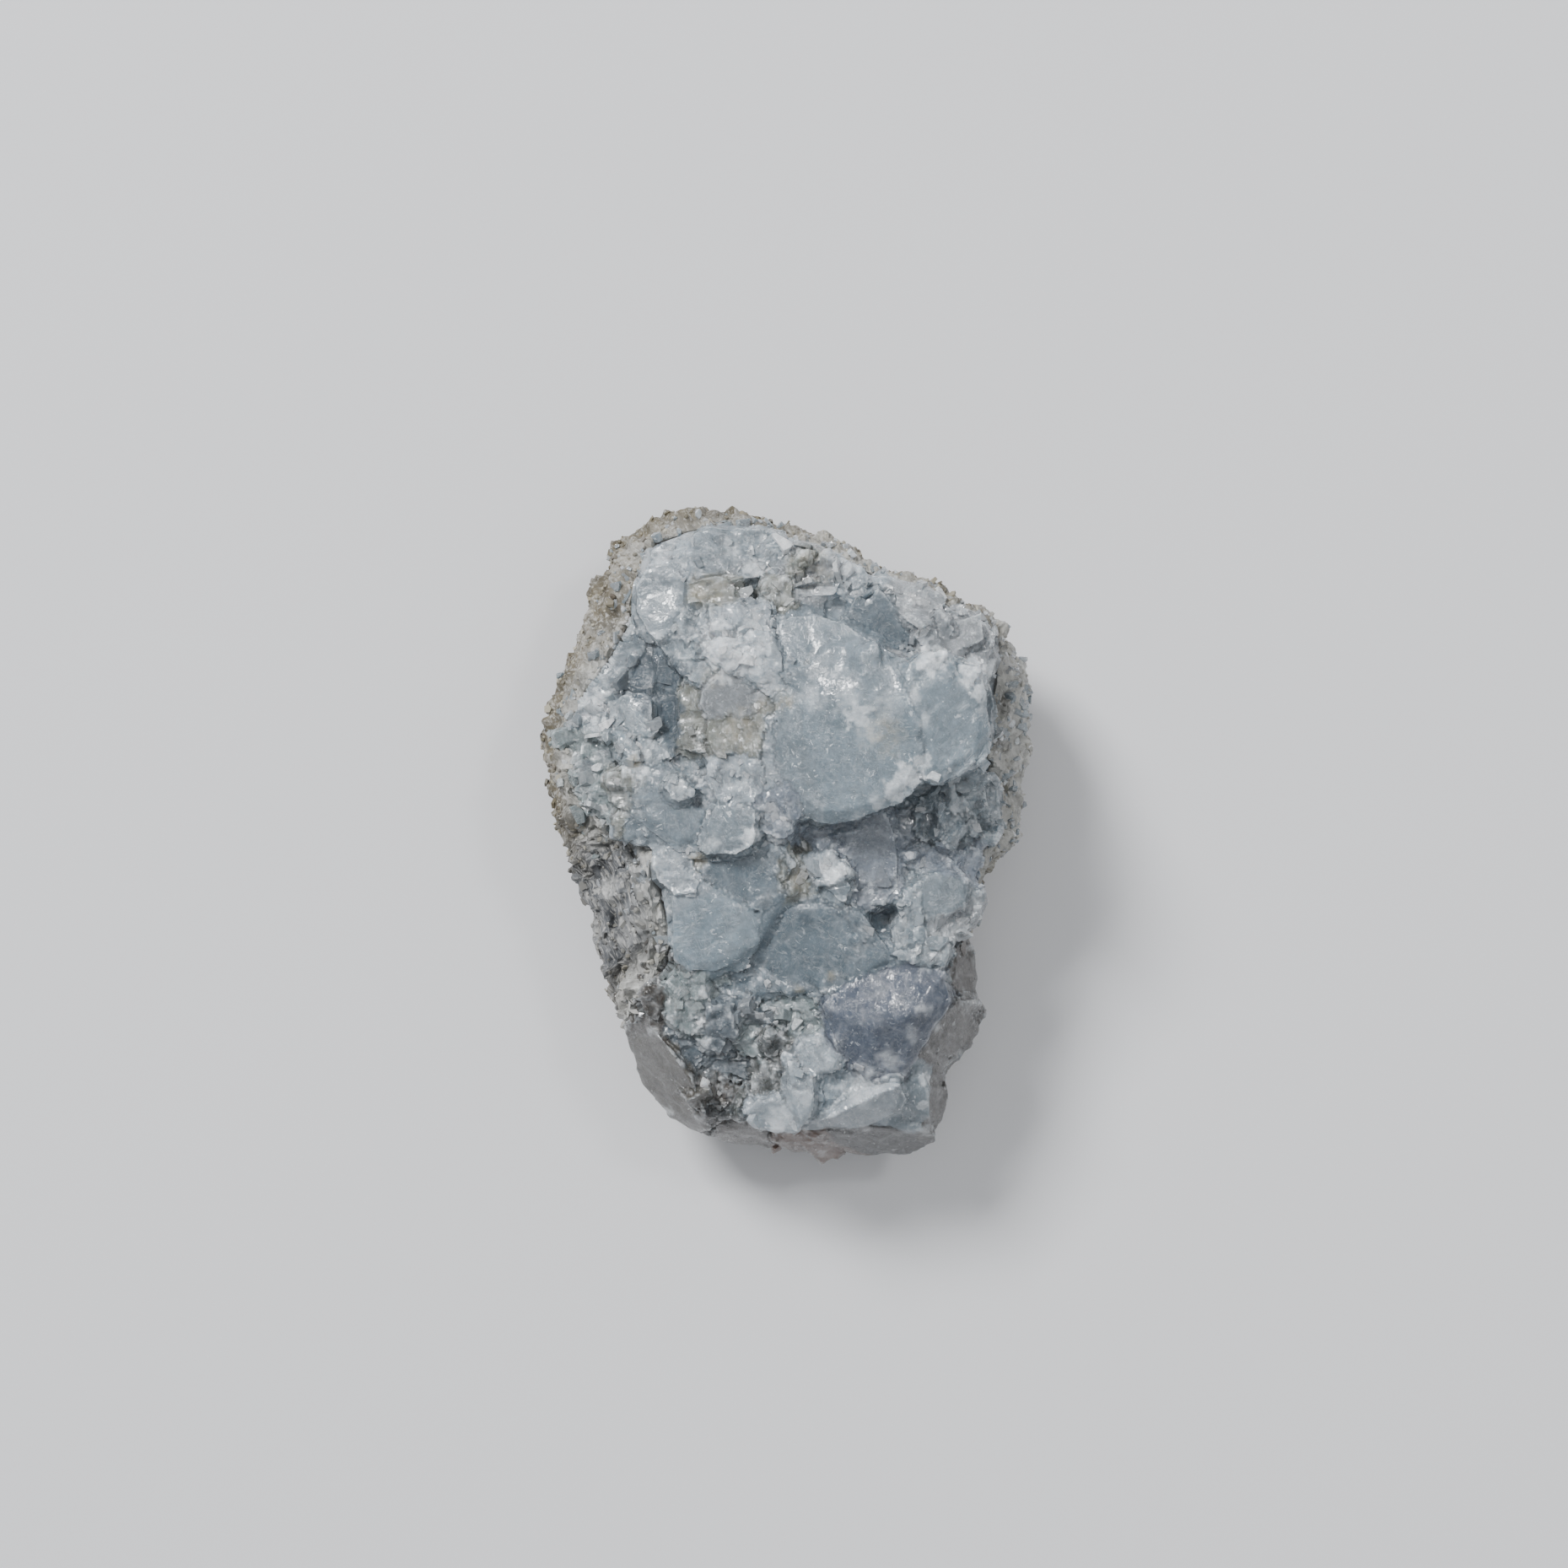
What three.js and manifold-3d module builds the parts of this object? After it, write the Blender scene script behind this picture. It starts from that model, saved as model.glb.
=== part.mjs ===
// Celestite crystal cluster: a loose piece broken from the lining of a geode. Blue-grey, cleaved
// crystals, grown together in one mass, fill the hollow of the grey-beige rock rind that they grew on.
// Millimetres, +Z up, crystals facing up, +Y the long way. The origin is under the middle of the piece,
// on the flat cut that it rests on.

import * as THREE from 'three';
import { ConvexGeometry } from 'three/addons/geometries/ConvexGeometry.js';
import { mergeVertices } from 'three/addons/utils/BufferGeometryUtils.js';
import Module from 'manifold-3d';

const wasm = await Module();
wasm.setup();

// Driving dimensions, millimetres
const SEAM_GAP = 0.3;            // air between the rind and the crystal mass
const WELD = 1e-4;               // vertices nearer than this are one
const STATIONS = 60;             // steps around the rind
const REST_SHARE = 0.62;         // the flat cut's breadth, as a share of the rind's
const HOLLOW_FLOOR = 3.6;        // height of the floor of the rind's hollow
const HOLLOW_SHARE = 0.6;        // the floor's breadth, as a share of the crest's
const HOLLOW_STEP_IN = 0.9;      // the hollow's wall first steps in this far from the crest
const HOLLOW_STEP_DOWN = 1.6;    // and this far down
const CREST_WALL = 0.6;          // the crest lies at least this far inside the rind's outline
const WIDEST_Z = 6.6;            // height at which the rind is widest
const SHOULDER_Z = 7.8;          // height at which it starts to turn in
const SHOULDER_DROP = 0.3;       // the shoulder is at least this far below the crest
const WIDEST_DROP = 0.4;         // and the widest part this far below the shoulder
const WIDEST_RING = 7;           // the ring of the profile above which the lumps also lift the rind
const LUMP_OUT_BELOW = 0.8;      // how much of a lump's height goes outwards, below that ring
const LUMP_OUT_ABOVE = 0.3;      // and above it
const LUMPS = [[3.2, 0.85], [1.7, 0.4]];   // the rind's lumps: [how broad they are, how far they stand out]
const RIDGE_TURN = 24 * Math.PI / 180;     // the fibrous ridges on the left lie this far from -Y towards +X
const RIDGE_PITCH = 1.3;                   // their spacing
const RIDGE_HEIGHT = 0.5;                  // how far they stand out
const RIDGE_WANDER = 4;                    // they wander over about this length
const RIDGE_LEFT = [7, 10];                // they start this far left of the middle and are full here
const RIDGE_LOW = [-1.5, 0.5];             // and this far below the middle, seen from above
const CORE_TOP = 10.8;           // top of the massive celestite that all crystals stand in
const CORE_FALL = 0.006;         // how it falls away: mm of height per square mm of distance
const CORE_RINGS = [0, 0.5, 0.97];   // the rings of its dome, as shares of the crest's breadth
const CORE_FOOT = 0.8;           // its foot's breadth, as a share of the crest's
const CORE_STEP = 4;             // it takes every fourth corner of the crest
const PIT_TAPER = 0.7;           // a pit's floor, as a share of its mouth
const ROOT_DEPTH = 3;            // how deep a crystal's root goes below its rim, unless it gives its own
const ROOT_SPREAD = 1.15;        // the root's breadth, as a share of the top's
const BEVEL_DROP = 0.7;          // a bevel falls this much for each mm of its width
const BEVEL_LIMIT = 0.35;        // and takes at most this share of the top
const FOOT_INSET = 1.4;          // how far a hanging face's foot is drawn in
const FOOT_Z = 4.2;              // how low it comes
const SMALL_HALF = [0.35, 0.75]; // a small crystal's least and greatest half breadth, as a share of its size
const SMALL_LENGTH = 2.8;        // its length, as a share of its size
const SMALL_LEAN = 0.45;         // it leans at most this much, in radians
const SMALL_SKEW = 0.3;          // how skewed its section is
const SMALL_SLANT = 0.25;        // how slanted its end is, as a share of its size

// The rind's profile below its widest part: [share of its breadth, share of the widest part's height,
// how much the lumps show, which way the rind grows: [out, up]].
const FLANK = [
  [REST_SHARE, 0, 0, [1, -1]], [0.68, 0.1, 0.3, [1, -0.5]], [0.8, 0.3, 0.8, [1, -0.5]],
  [0.9, 0.55, 1, [1, -0.5]], [0.965, 0.8, 1, [1, 0]], [1, 1, 0.25, [1, 0]],
];

// The profile from the shoulder in to the crest: [share of the way in, share of the rise, and as above].
const SLOPE = [
  [0.06, 0, 0.6, [1, 0.5]], [0.26, 0.42, 1, [0.5, 1]], [0.5, 0.7, 1, [0, 1]], [0.75, 0.88, 1, [0, 1]],
  [1, 1, 0.7, [-0.5, 1]],
];

// The rind seen from above, clockwise from its upper left corner. At the lower right and the bottom it
// stays back, because broken crystals hang over it there.
const RIND_OUTLINE = [
  [-10.3, 18.8], [-9.8, 19.3], [-8.6, 19.7], [-7.9, 20.1], [-6.5, 20.3], [-5.0, 20.4], [-3.5, 20.2],
  [-2.0, 19.9], [-0.7, 19.6], [-0.4, 19.1], [2.0, 18.5], [3.0, 18.1], [4.9, 17.0], [7.0, 16.3],
  [7.5, 15.9], [8.2, 16.0], [9.7, 15.2], [10.6, 14.9], [12.0, 14.0], [13.3, 13.3], [13.7, 12.5],
  [14.0, 11.7], [14.5, 11.0], [14.9, 10.2], [14.95, 9.6], [14.65, 8.2], [14.9, 7.2], [14.65, 6.4],
  [14.85, 5.8], [14.75, 4.5], [14.3, 3.3], [14.2, 2.5], [14.25, 1.5], [14.45, 0.9], [13.9, -0.1],
  [13.1, -0.9], [12.4, -2.4], [12.1, -2.8], [12.25, -4.0], [11.5, -5.1], [10.9, -5.8], [10.6, -7.0],
  [10.9, -8.8], [11.2, -10.6], [11.0, -12.2], [10.0, -13.6], [9.2, -15.0], [9.0, -16.8], [8.4, -18.0],
  [6.5, -18.7], [3.8, -18.6], [1.8, -18.9], [-2.2, -18.3], [-4.4, -18.0], [-6.4, -16.9], [-8.2, -15.0],
  [-9.0, -13.4], [-10.1, -11.2], [-10.8, -10.2], [-10.9, -9.2], [-11.2, -8.7], [-11.3, -7.8], [-11.5, -6.7],
  [-12.0, -5.1], [-12.5, -4.0], [-12.9, -2.6], [-13.1, -2.0], [-13.2, -1.0], [-13.5, -0.3],
  [-14.0, 0.3], [-14.4, 2.0], [-14.55, 3.0], [-14.75, 4.0], [-14.85, 5.0], [-14.9, 6.0], [-14.8, 7.0],
  [-14.6, 8.0], [-14.2, 9.0], [-13.7, 10.0], [-13.4, 11.0], [-13.0, 12.2], [-12.8, 13.0],
  [-12.5, 14.0], [-12.1, 15.0], [-11.8, 16.0], [-11.05, 17.0], [-10.7, 18.0],
];

// The rind's crest, where it meets the crystals, in the same order.
const CREST_OUTLINE = [
  [-8.9, 17.9], [-7.5, 18.6], [-6.0, 19.0], [-4.0, 19.3], [-1.0, 18.9], [1.0, 18.2], [3.0, 17.3],
  [5.0, 16.3], [7.4, 15.3], [9.5, 14.5], [11.6, 13.4], [12.9, 12.2], [13.2, 10.6], [12.7, 9.2],
  [12.4, 7.4], [12.3, 5.6], [12.9, 4.4], [13.2, 3.2], [13.1, 1.4], [12.6, 0.2], [11.9, -0.8],
  [11.2, -2.6], [11.0, -4.2], [9.9, -5.4], [9.5, -7.0], [9.7, -9.0], [9.9, -11.0], [9.2, -13.0],
  [8.0, -15.0], [7.6, -16.6], [6.0, -17.4], [3.2, -17.5], [0.4, -17.4], [-2.0, -17.2], [-4.2, -16.8],
  [-5.9, -15.6], [-7.4, -13.6], [-8.7, -11.6], [-9.5, -10.2], [-9.2, -9.4], [-8.4, -8.8],
  [-7.5, -8.0], [-7.2, -6.5], [-7.3, -5.0], [-8.0, -4.0], [-8.5, -3.0], [-8.4, -1.6], [-7.9, -0.9],
  [-7.6, 0.2], [-8.4, 1.0], [-9.4, 1.7], [-10.3, 1.3], [-11.2, 0.9], [-12.2, 1.6], [-13.0, 3.2],
  [-13.2, 5.2], [-12.9, 6.4], [-12.9, 8.0], [-12.3, 9.2], [-11.2, 10.6], [-10.3, 12.0],
  [-9.6, 13.4], [-9.6, 15.5],
];

// The crest's height by compass angle, in degrees from +X: [angle, height].
const CREST_HEIGHTS = [
  [0, 10.2], [30, 10.6], [45, 10.4], [60, 10.2], [90, 10.2], [105, 10.4], [115, 11.0], [130, 11.3],
  [150, 10.5], [165, 10.2], [172, 10.8], [180, 12.0], [195, 12.0], [215, 11.3], [225, 10.8],
  [228, 10.2], [234, 6.0], [245, 4.8], [270, 4.6], [300, 4.6], [312, 5.2], [322, 6.4], [330, 8.2],
  [340, 9.5], [360, 10.2],
];

// The crystals. Each is [outline seen from above, height at its middle, [rise per mm along X, along Y]],
// and then what sets it apart: depth of its root, spread of the root, peaks above the plane, bevel.
const UPPER_LEFT = {
  palePlate: [
    [[-9.2, 15.4], [-8.6, 16.3], [-7.0, 16.5], [-6.3, 15.9], [-6.4, 14.0], [-6.9, 12.8], [-7.8, 12.1],
      [-8.5, 12.6], [-9.2, 13.8]], 13.0, [0.25, -0.2]],
  topBlue: [
    [[-6.1, 18.4], [-5.0, 19.2], [-3.6, 19.1], [-3.4, 17.8], [-3.6, 16.4], [-5.0, 15.9], [-5.9, 16.6]],
    12.1, [0.05, -0.5]],
  topGrey: [
    [[-3.5, 19.1], [-1.0, 18.9], [0.1, 18.3], [-0.4, 16.9], [-1.0, 16.0], [-2.6, 15.9], [-3.3, 17.0]],
    12.3, [0.1, -0.5]],
  topShoulder: [
    [[-8.4, 17.6], [-6.4, 18.3], [-5.8, 17.0], [-6.2, 16.2], [-8.2, 16.6]], 12.0, [0.1, -0.4]],
  topPale: [
    [[0.0, 18.1], [2.6, 17.6], [3.4, 16.4], [3.0, 14.9], [0.6, 14.6], [-0.6, 15.6]],
    12.7, [0.0, -0.55]],
  whitePatch: [
    [[3.0, 17.2], [4.6, 16.6], [5.0, 15.8], [4.4, 15.4], [3.2, 15.6]], 12.6, [0.1, -0.4]],
  stainedBand: [
    [[-6.2, 15.6], [-4.0, 16.1], [-3.1, 15.6], [-3.2, 14.6], [-4.2, 14.2], [-6.0, 14.0]],
    13.4, [0.1, -0.15]],
  slotRight: [
    [[-1.4, 16.2], [0.2, 15.6], [0.4, 14.2], [-1.2, 14.2]], 13.6, [0.1, -0.3]],
  massifShoulder: [
    [[-6.8, 13.4], [-6.2, 14.0], [-5.0, 13.9], [-4.7, 12.3], [-6.1, 12.0], [-6.6, 12.8]],
    14.1, [0.3, -0.3]],
  massifTop: [
    [[-4.8, 14.1], [-1.2, 14.2], [-1.0, 12.8], [-2.6, 12.6], [-4.6, 12.4]], 14.7, [0.05, -0.55]],
  whiteMassif: [
    [[-4.9, 12.2], [-2.6, 12.7], [-1.2, 12.4], [-0.4, 11.0], [-0.4, 9.6], [-2.0, 9.4], [-3.1, 10.0],
      [-4.0, 10.8], [-5.2, 11.0]], 15.5, [0.12, 0.0], { peaks: [[-3.7, 11.5, 16.1]] }],
  massifLeft: [
    [[-7.7, 11.7], [-6.6, 12.2], [-5.0, 11.9], [-4.4, 10.7], [-5.1, 9.4], [-6.0, 9.6], [-6.6, 10.6]],
    14.0, [0.5, -0.15]],
  greyFacet: [
    [[-5.2, 9.0], [-4.1, 10.0], [-3.1, 10.0], [-2.2, 9.0], [-2.0, 7.9], [-3.0, 7.4], [-4.8, 7.4],
      [-5.3, 8.2]], 14.9, [0.15, 0.2]],
  beigeEdge: [
    [[-6.3, 9.6], [-5.4, 9.2], [-5.2, 7.4], [-4.9, 5.2], [-6.4, 5.4], [-6.6, 7.0]], 13.7, [0.5, 0.0]],
  stainedBlock: [
    [[-4.9, 7.4], [-1.2, 7.4], [-1.2, 5.6], [-2.4, 5.2], [-4.4, 5.3], [-5.0, 6.2]], 14.6, [0.2, 0.1]],
  beigePit: [
    [[-1.0, 9.6], [0.5, 9.2], [0.4, 7.4], [-1.1, 7.4]], 14.3, [0.1, 0.1]],
};

const CENTRE = {
  upperBlue: [
    [[-1.1, 12.6], [0.2, 13.5], [1.8, 13.6], [3.5, 13.0], [4.9, 11.9], [7.0, 10.8], [6.9, 9.6],
      [4.0, 9.9], [1.0, 10.2], [-0.5, 9.9]], 15.6, [0.12, -0.38]],
  bigBlade: [
    [[0.4, 8.8], [2.0, 9.9], [5.0, 9.9], [7.6, 9.4], [8.7, 7.4], [8.9, 5.4], [8.3, 4.2], [7.9, 3.4],
      [7.2, 2.7], [6.0, 1.9], [4.5, 1.35], [3.0, 1.0], [1.6, 1.0], [0.6, 1.6], [-0.4, 3.4],
      [-1.0, 5.6], [-0.8, 7.0]], 16.5, [0.2, 0.1], { bevel: 0.7, spread: 0.84, depth: 5 }],
  rightLobe: [
    [[7.0, 10.6], [8.2, 11.4], [9.6, 11.2], [11.4, 10.4], [11.8, 9.6], [11.7, 8.0], [12.2, 6.8],
      [12.0, 5.4], [11.7, 4.7], [11.1, 4.1], [10.0, 3.75], [8.8, 3.3], [8.2, 3.6], [8.2, 6.0]],
    17.1, [-0.22, 0.05], { bevel: 0.6, spread: 0.94, depth: 6 }],
  lobeStep: [
    [[11.0, 10.2], [12.2, 9.4], [12.6, 7.6], [12.4, 5.8], [11.2, 5.0]], 13.6, [-0.7, 0.0]],
  mauveFoot: [
    [[-2.0, 2.2], [-1.3, 2.8], [0.2, 3.4], [0.8, 1.4], [0.4, 0.1], [-0.7, 0.0], [-1.5, 0.9]],
    14.9, [0.3, 0.25]],
  bladeRoot: [
    [[-1.3, 7.2], [0.4, 7.3], [0.6, 5.6], [0.3, 3.6], [-1.2, 2.8], [-1.6, 4.4]], 15.2, [0.35, 0.1]],
  darkWindow: [
    [[3.6, 13.3], [4.0, 14.7], [5.0, 15.3], [5.9, 15.0], [6.8, 13.7], [7.8, 12.4], [7.6, 11.7],
      [7.0, 10.9], [5.4, 11.4], [4.6, 12.0]], 13.2, [-0.08, 0.12]],
  topRight: [
    [[5.0, 16.2], [7.4, 15.3], [9.0, 14.9], [9.4, 14.0], [8.0, 12.5], [7.1, 13.4], [6.3, 14.6],
      [5.2, 15.5]], 12.9, [0.05, -0.6]],
  greyShelf: [
    [[8.0, 12.4], [9.4, 14.1], [11.4, 13.6], [12.6, 12.4], [12.9, 11.0], [12.4, 9.8], [10.0, 11.4],
      [8.4, 11.6]], 13.1, [-0.35, -0.25]],
  centreLeft: [
    [[-4.6, 4.9], [-3.0, 5.2], [-1.9, 5.0], [-1.5, 4.0], [-2.0, 2.3], [-4.2, 2.2], [-4.9, 3.4]],
    14.5, [0.2, 0.0]],
  brightCorner: [
    [[-4.4, 2.1], [-3.2, 1.9], [-2.0, 1.8], [-1.9, 0.2], [-2.2, -0.4], [-3.1, -1.0], [-4.9, -1.0],
      [-5.3, -0.6], [-4.9, 0.3], [-4.3, 1.1]], 14.4, [0.3, 0.05]],
  slateShelf: [
    [[-5.1, -1.1], [-3.2, -1.1], [-2.1, -0.4], [-1.4, 0.0], [-0.2, -0.4], [0.3, -1.5], [0.0, -3.3],
      [-0.9, -3.7], [-2.0, -4.0], [-4.1, -3.7], [-5.2, -2.7]], 13.2, [0.12, 0.2]],
  beigeFlank: [
    [[-0.2, -0.4], [0.3, -0.7], [1.0, -2.2], [1.3, -3.3], [0.0, -3.4], [-0.3, -2.2]],
    13.3, [-0.45, 0.1]],
  mauveShelf: [
    [[0.9, 1.0], [3.0, 0.9], [5.9, 1.6], [6.6, 0.2], [6.7, -1.6], [6.7, -2.9], [5.8, -3.9],
      [4.1, -4.1], [3.9, -2.4], [2.0, -0.6]], 12.8, [-0.1, 0.0]],
  brightFlake: [
    [[2.4, -0.6], [3.9, -2.1], [2.7, -3.0], [1.8, -2.7], [1.3, -1.4]], 13.4, [0.35, -0.1],
    { bevel: 0.15 }],
  brightTooth: [
    [[2.1, -3.0], [3.9, -2.7], [4.0, -3.1], [3.6, -4.0], [3.0, -3.7]], 13.7, [0.2, 0.2],
    { bevel: 0.12 }],
};

const LEFT_SIDE = {
  slateA: [
    [[-9.9, 11.0], [-9.3, 12.0], [-8.5, 11.6], [-8.2, 10.2], [-8.2, 9.2], [-9.9, 9.0]],
    11.5, [0.25, -0.1]],
  slateB: [
    [[-8.0, 11.2], [-7.3, 10.8], [-6.5, 10.1], [-6.4, 9.2], [-7.0, 9.2], [-8.1, 9.6]],
    12.1, [0.2, 0.1]],
  slateC: [
    [[-8.2, 8.6], [-6.6, 8.9], [-6.4, 7.4], [-6.7, 5.8], [-7.4, 5.3], [-8.2, 6.6]], 11.7, [0.3, 0.05]],
  leftPale: [
    [[-12.8, 8.4], [-12.0, 9.6], [-11.0, 10.6], [-9.9, 10.8], [-9.9, 8.8], [-11.0, 7.2],
      [-12.3, 7.0]], 11.0, [0.4, -0.1]],
  leftMiddle: [
    [[-11.0, 8.4], [-9.8, 8.8], [-8.3, 8.4], [-8.3, 6.6], [-9.0, 6.0], [-9.8, 6.2], [-10.9, 7.2]],
    12.1, [0.3, -0.2]],
  leftPatch: [
    [[-12.8, 7.8], [-11.9, 8.9], [-11.1, 7.4], [-11.0, 6.0], [-12.3, 6.2], [-12.7, 6.8]],
    11.4, [0.45, -0.1]],
  whiteStreak: [
    [[-10.7, 7.0], [-9.9, 6.6], [-9.2, 5.4], [-9.0, 4.8], [-9.7, 4.6], [-10.4, 5.8]],
    12.9, [0.4, -0.3], { bevel: 0.2 }],
  streakFoot: [
    [[-9.1, 6.1], [-8.0, 6.3], [-7.2, 5.1], [-7.8, 4.7], [-9.0, 4.6]], 12.8, [0.1, -0.2]],
  leftDark: [
    [[-12.9, 5.2], [-12.0, 5.3], [-12.1, 4.2], [-12.5, 3.3], [-12.9, 3.6]], 10.0, [0.3, 0.1]],
  leftSlip: [
    [[-12.0, 4.7], [-11.3, 5.0], [-11.0, 4.2], [-11.0, 3.0], [-10.4, 1.6], [-10.9, 1.0],
      [-12.0, 2.0]], 11.5, [0.5, 0.0]],
  lobeFlank: [
    [[-11.0, 4.0], [-10.0, 4.1], [-9.0, 3.8], [-9.7, 2.6], [-9.7, 1.6], [-10.3, 1.5],
      [-10.8, 2.4]], 12.7, [0.35, 0.1]],
  blueLobe: [
    [[-9.8, 4.1], [-8.9, 4.9], [-7.8, 5.0], [-6.9, 4.0], [-6.2, 2.6], [-5.4, 2.2], [-4.4, 1.2],
      [-4.8, 0.0], [-5.3, -0.8], [-6.6, -0.9], [-7.4, -0.2], [-8.4, 1.0], [-9.6, 1.5]],
    13.4, [0.17, -0.02], { bevel: 0.5 }],
  paleLump: [
    [[-7.5, 3.1], [-6.9, 3.9], [-6.3, 3.6], [-5.8, 2.8], [-6.3, 2.4], [-7.0, 2.4]],
    14.3, [0.1, -0.1]],
  paleWedge: [
    [[-8.2, -1.0], [-7.2, -1.2], [-6.2, -1.9], [-5.4, -2.6], [-5.5, -3.3], [-6.9, -3.4],
      [-8.0, -2.4]], 13.1, [0.25, -0.05]],
  bigFlat: [
    [[-7.0, -2.2], [-6.0, -2.1], [-5.2, -2.6], [-5.1, -3.3], [-4.0, -3.8], [-2.9, -4.0],
      [-2.3, -5.0], [-2.3, -6.8], [-2.8, -7.5], [-4.3, -8.1], [-6.0, -8.1], [-6.8, -7.4],
      [-7.0, -5.0]], 12.9, [0.13, 0.15], { bevel: 0.3 }],
};

const RIGHT_SIDE = {
  rightCrustTop: [
    [[10.0, 3.4], [12.2, 4.2], [13.0, 3.2], [13.0, 1.4], [12.2, 0.2], [10.8, 0.4], [9.8, 1.6]],
    11.8, [-0.4, 0.1]],
  rightCrustFoot: [
    [[9.2, 2.4], [10.2, 2.2], [11.0, 0.6], [9.8, -0.6], [9.0, 0.2]], 12.4, [-0.3, 0.0]],
  rightShelf: [
    [[7.2, -0.9], [9.0, -0.8], [11.0, -0.6], [12.0, -1.2], [11.4, -2.6], [10.4, -1.8], [8.4, -1.9]],
    11.7, [-0.3, 0.1]],
  blueWindow: [
    [[7.7, -2.7], [8.6, -2.0], [10.2, -1.8], [11.0, -2.6], [10.9, -4.2], [10.0, -4.9], [8.9, -5.0],
      [8.1, -4.2]], 12.5, [-0.15, 0.05], { bevel: 0.25 }],
  crustLeft: [
    [[6.9, -3.9], [7.8, -2.6], [8.2, -4.5], [8.6, -6.2], [7.2, -6.9], [6.8, -6.2]],
    12.6, [-0.1, 0.1]],
  crustRight: [
    [[8.5, -5.2], [10.8, -4.8], [12.1, -4.0], [12.0, -2.9], [11.4, -5.4], [10.2, -6.4],
      [8.6, -6.2]], 11.7, [-0.35, 0.1]],
  crustFoot: [
    [[7.9, -6.6], [9.8, -6.4], [9.9, -7.2], [9.6, -7.7], [8.0, -7.2], [6.8, -7.4], [6.4, -7.0]],
    12.7, [-0.1, 0.0]],
};

const LOWER = {
  deepBlue: [
    [[-2.3, -4.3], [-0.5, -4.0], [2.2, -3.9], [4.2, -4.1], [4.9, -5.0], [5.2, -6.2], [6.6, -7.4],
      [4.0, -8.3], [3.4, -9.2], [1.0, -9.5], [-2.1, -9.8], [-3.5, -9.5], [-4.4, -8.2]],
    12.3, [0.12, 0.2], { bevel: 0.3 }],
  lavender: [
    [[2.0, -10.2], [2.6, -9.6], [4.1, -8.5], [6.5, -7.9], [8.6, -7.8], [9.6, -8.1], [9.9, -9.8],
      [9.7, -10.4], [9.0, -10.9], [8.2, -12.0], [7.4, -13.8], [7.1, -14.4], [5.0, -14.9],
      [4.3, -14.2], [3.4, -12.7], [2.5, -11.3]], 12.3, [0.0, 0.14],
    { bevel: 0.3, peaks: [[5.2, -11.6, 13.2], [7.8, -10.4, 13.4]] }],
  paleCrust: [
    [[-6.6, -8.0], [-5.0, -8.3], [-4.7, -9.7], [-5.8, -10.0], [-6.9, -9.4], [-7.6, -8.8]],
    11.9, [0.15, 0.1]],
  greenWhite: [
    [[-7.4, -10.0], [-6.4, -10.1], [-5.2, -9.9], [-5.0, -11.0], [-5.3, -12.0], [-6.2, -11.8],
      [-7.0, -11.2]], 11.5, [0.1, 0.15]],
  darkTooth: [
    [[-5.0, -10.2], [-4.2, -10.5], [-3.2, -10.0], [-3.0, -11.5], [-3.3, -12.1], [-5.1, -12.0]],
    11.7, [0.0, 0.3], { bevel: 0.2 }],
  hexTooth: [
    [[-9.0, -9.3], [-8.6, -8.8], [-7.7, -8.9], [-7.5, -10.4], [-7.9, -11.2], [-8.7, -10.9],
      [-9.1, -10.0]], 11.3, [0.2, 0.2], { bevel: 0.2 }],
  slateBlock: [
    [[-7.4, -11.9], [-6.2, -12.0], [-5.3, -12.6], [-5.2, -13.6], [-5.9, -14.2], [-6.8, -13.1]],
    10.5, [0.0, 0.25]],
  striatedFlake: [
    [[-5.7, -12.2], [-4.2, -12.1], [-3.7, -12.5], [-4.1, -13.2], [-4.9, -13.0]], 11.2, [0.1, 0.3],
    { bevel: 0.15 }],
  speckledBench: [
    [[-3.2, -10.0], [1.8, -9.8], [2.6, -11.4], [2.4, -12.6], [0.6, -12.8], [-2.4, -13.4],
      [-3.4, -12.0]], 10.9, [0.1, 0.15]],
  brownBench: [
    [[-2.4, -13.2], [0.0, -12.8], [0.0, -15.2], [-1.0, -15.8], [-2.2, -15.4]], 10.5, [0.3, 0.0]],
  jagTop: [
    [[0.0, -13.4], [1.0, -12.1], [2.0, -12.1], [2.9, -13.2], [3.1, -14.0], [1.4, -14.6],
      [0.1, -14.4]], 11.7, [0.0, 0.1], { bevel: 0.2 }],
  jagMiddle: [
    [[0.0, -15.4], [0.1, -13.6], [1.6, -14.6], [1.8, -15.8], [1.4, -17.0], [0.8, -17.8]],
    11.6, [0.1, 0.25], { bevel: 0.2 }],
  jagLeft: [
    [[-2.7, -16.8], [-1.9, -16.0], [-0.9, -15.8], [0.2, -17.0], [0.7, -17.9], [-0.9, -18.1],
      [-1.7, -17.9]], 10.8, [0.3, 0.4], { bevel: 0.2, depth: 7 }],
  scuffedHollow: [
    [[1.5, -14.7], [3.0, -14.0], [3.7, -14.6], [3.6, -16.2], [1.6, -17.2], [1.6, -15.8]],
    10.9, [0.0, 0.2]],
};

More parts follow.
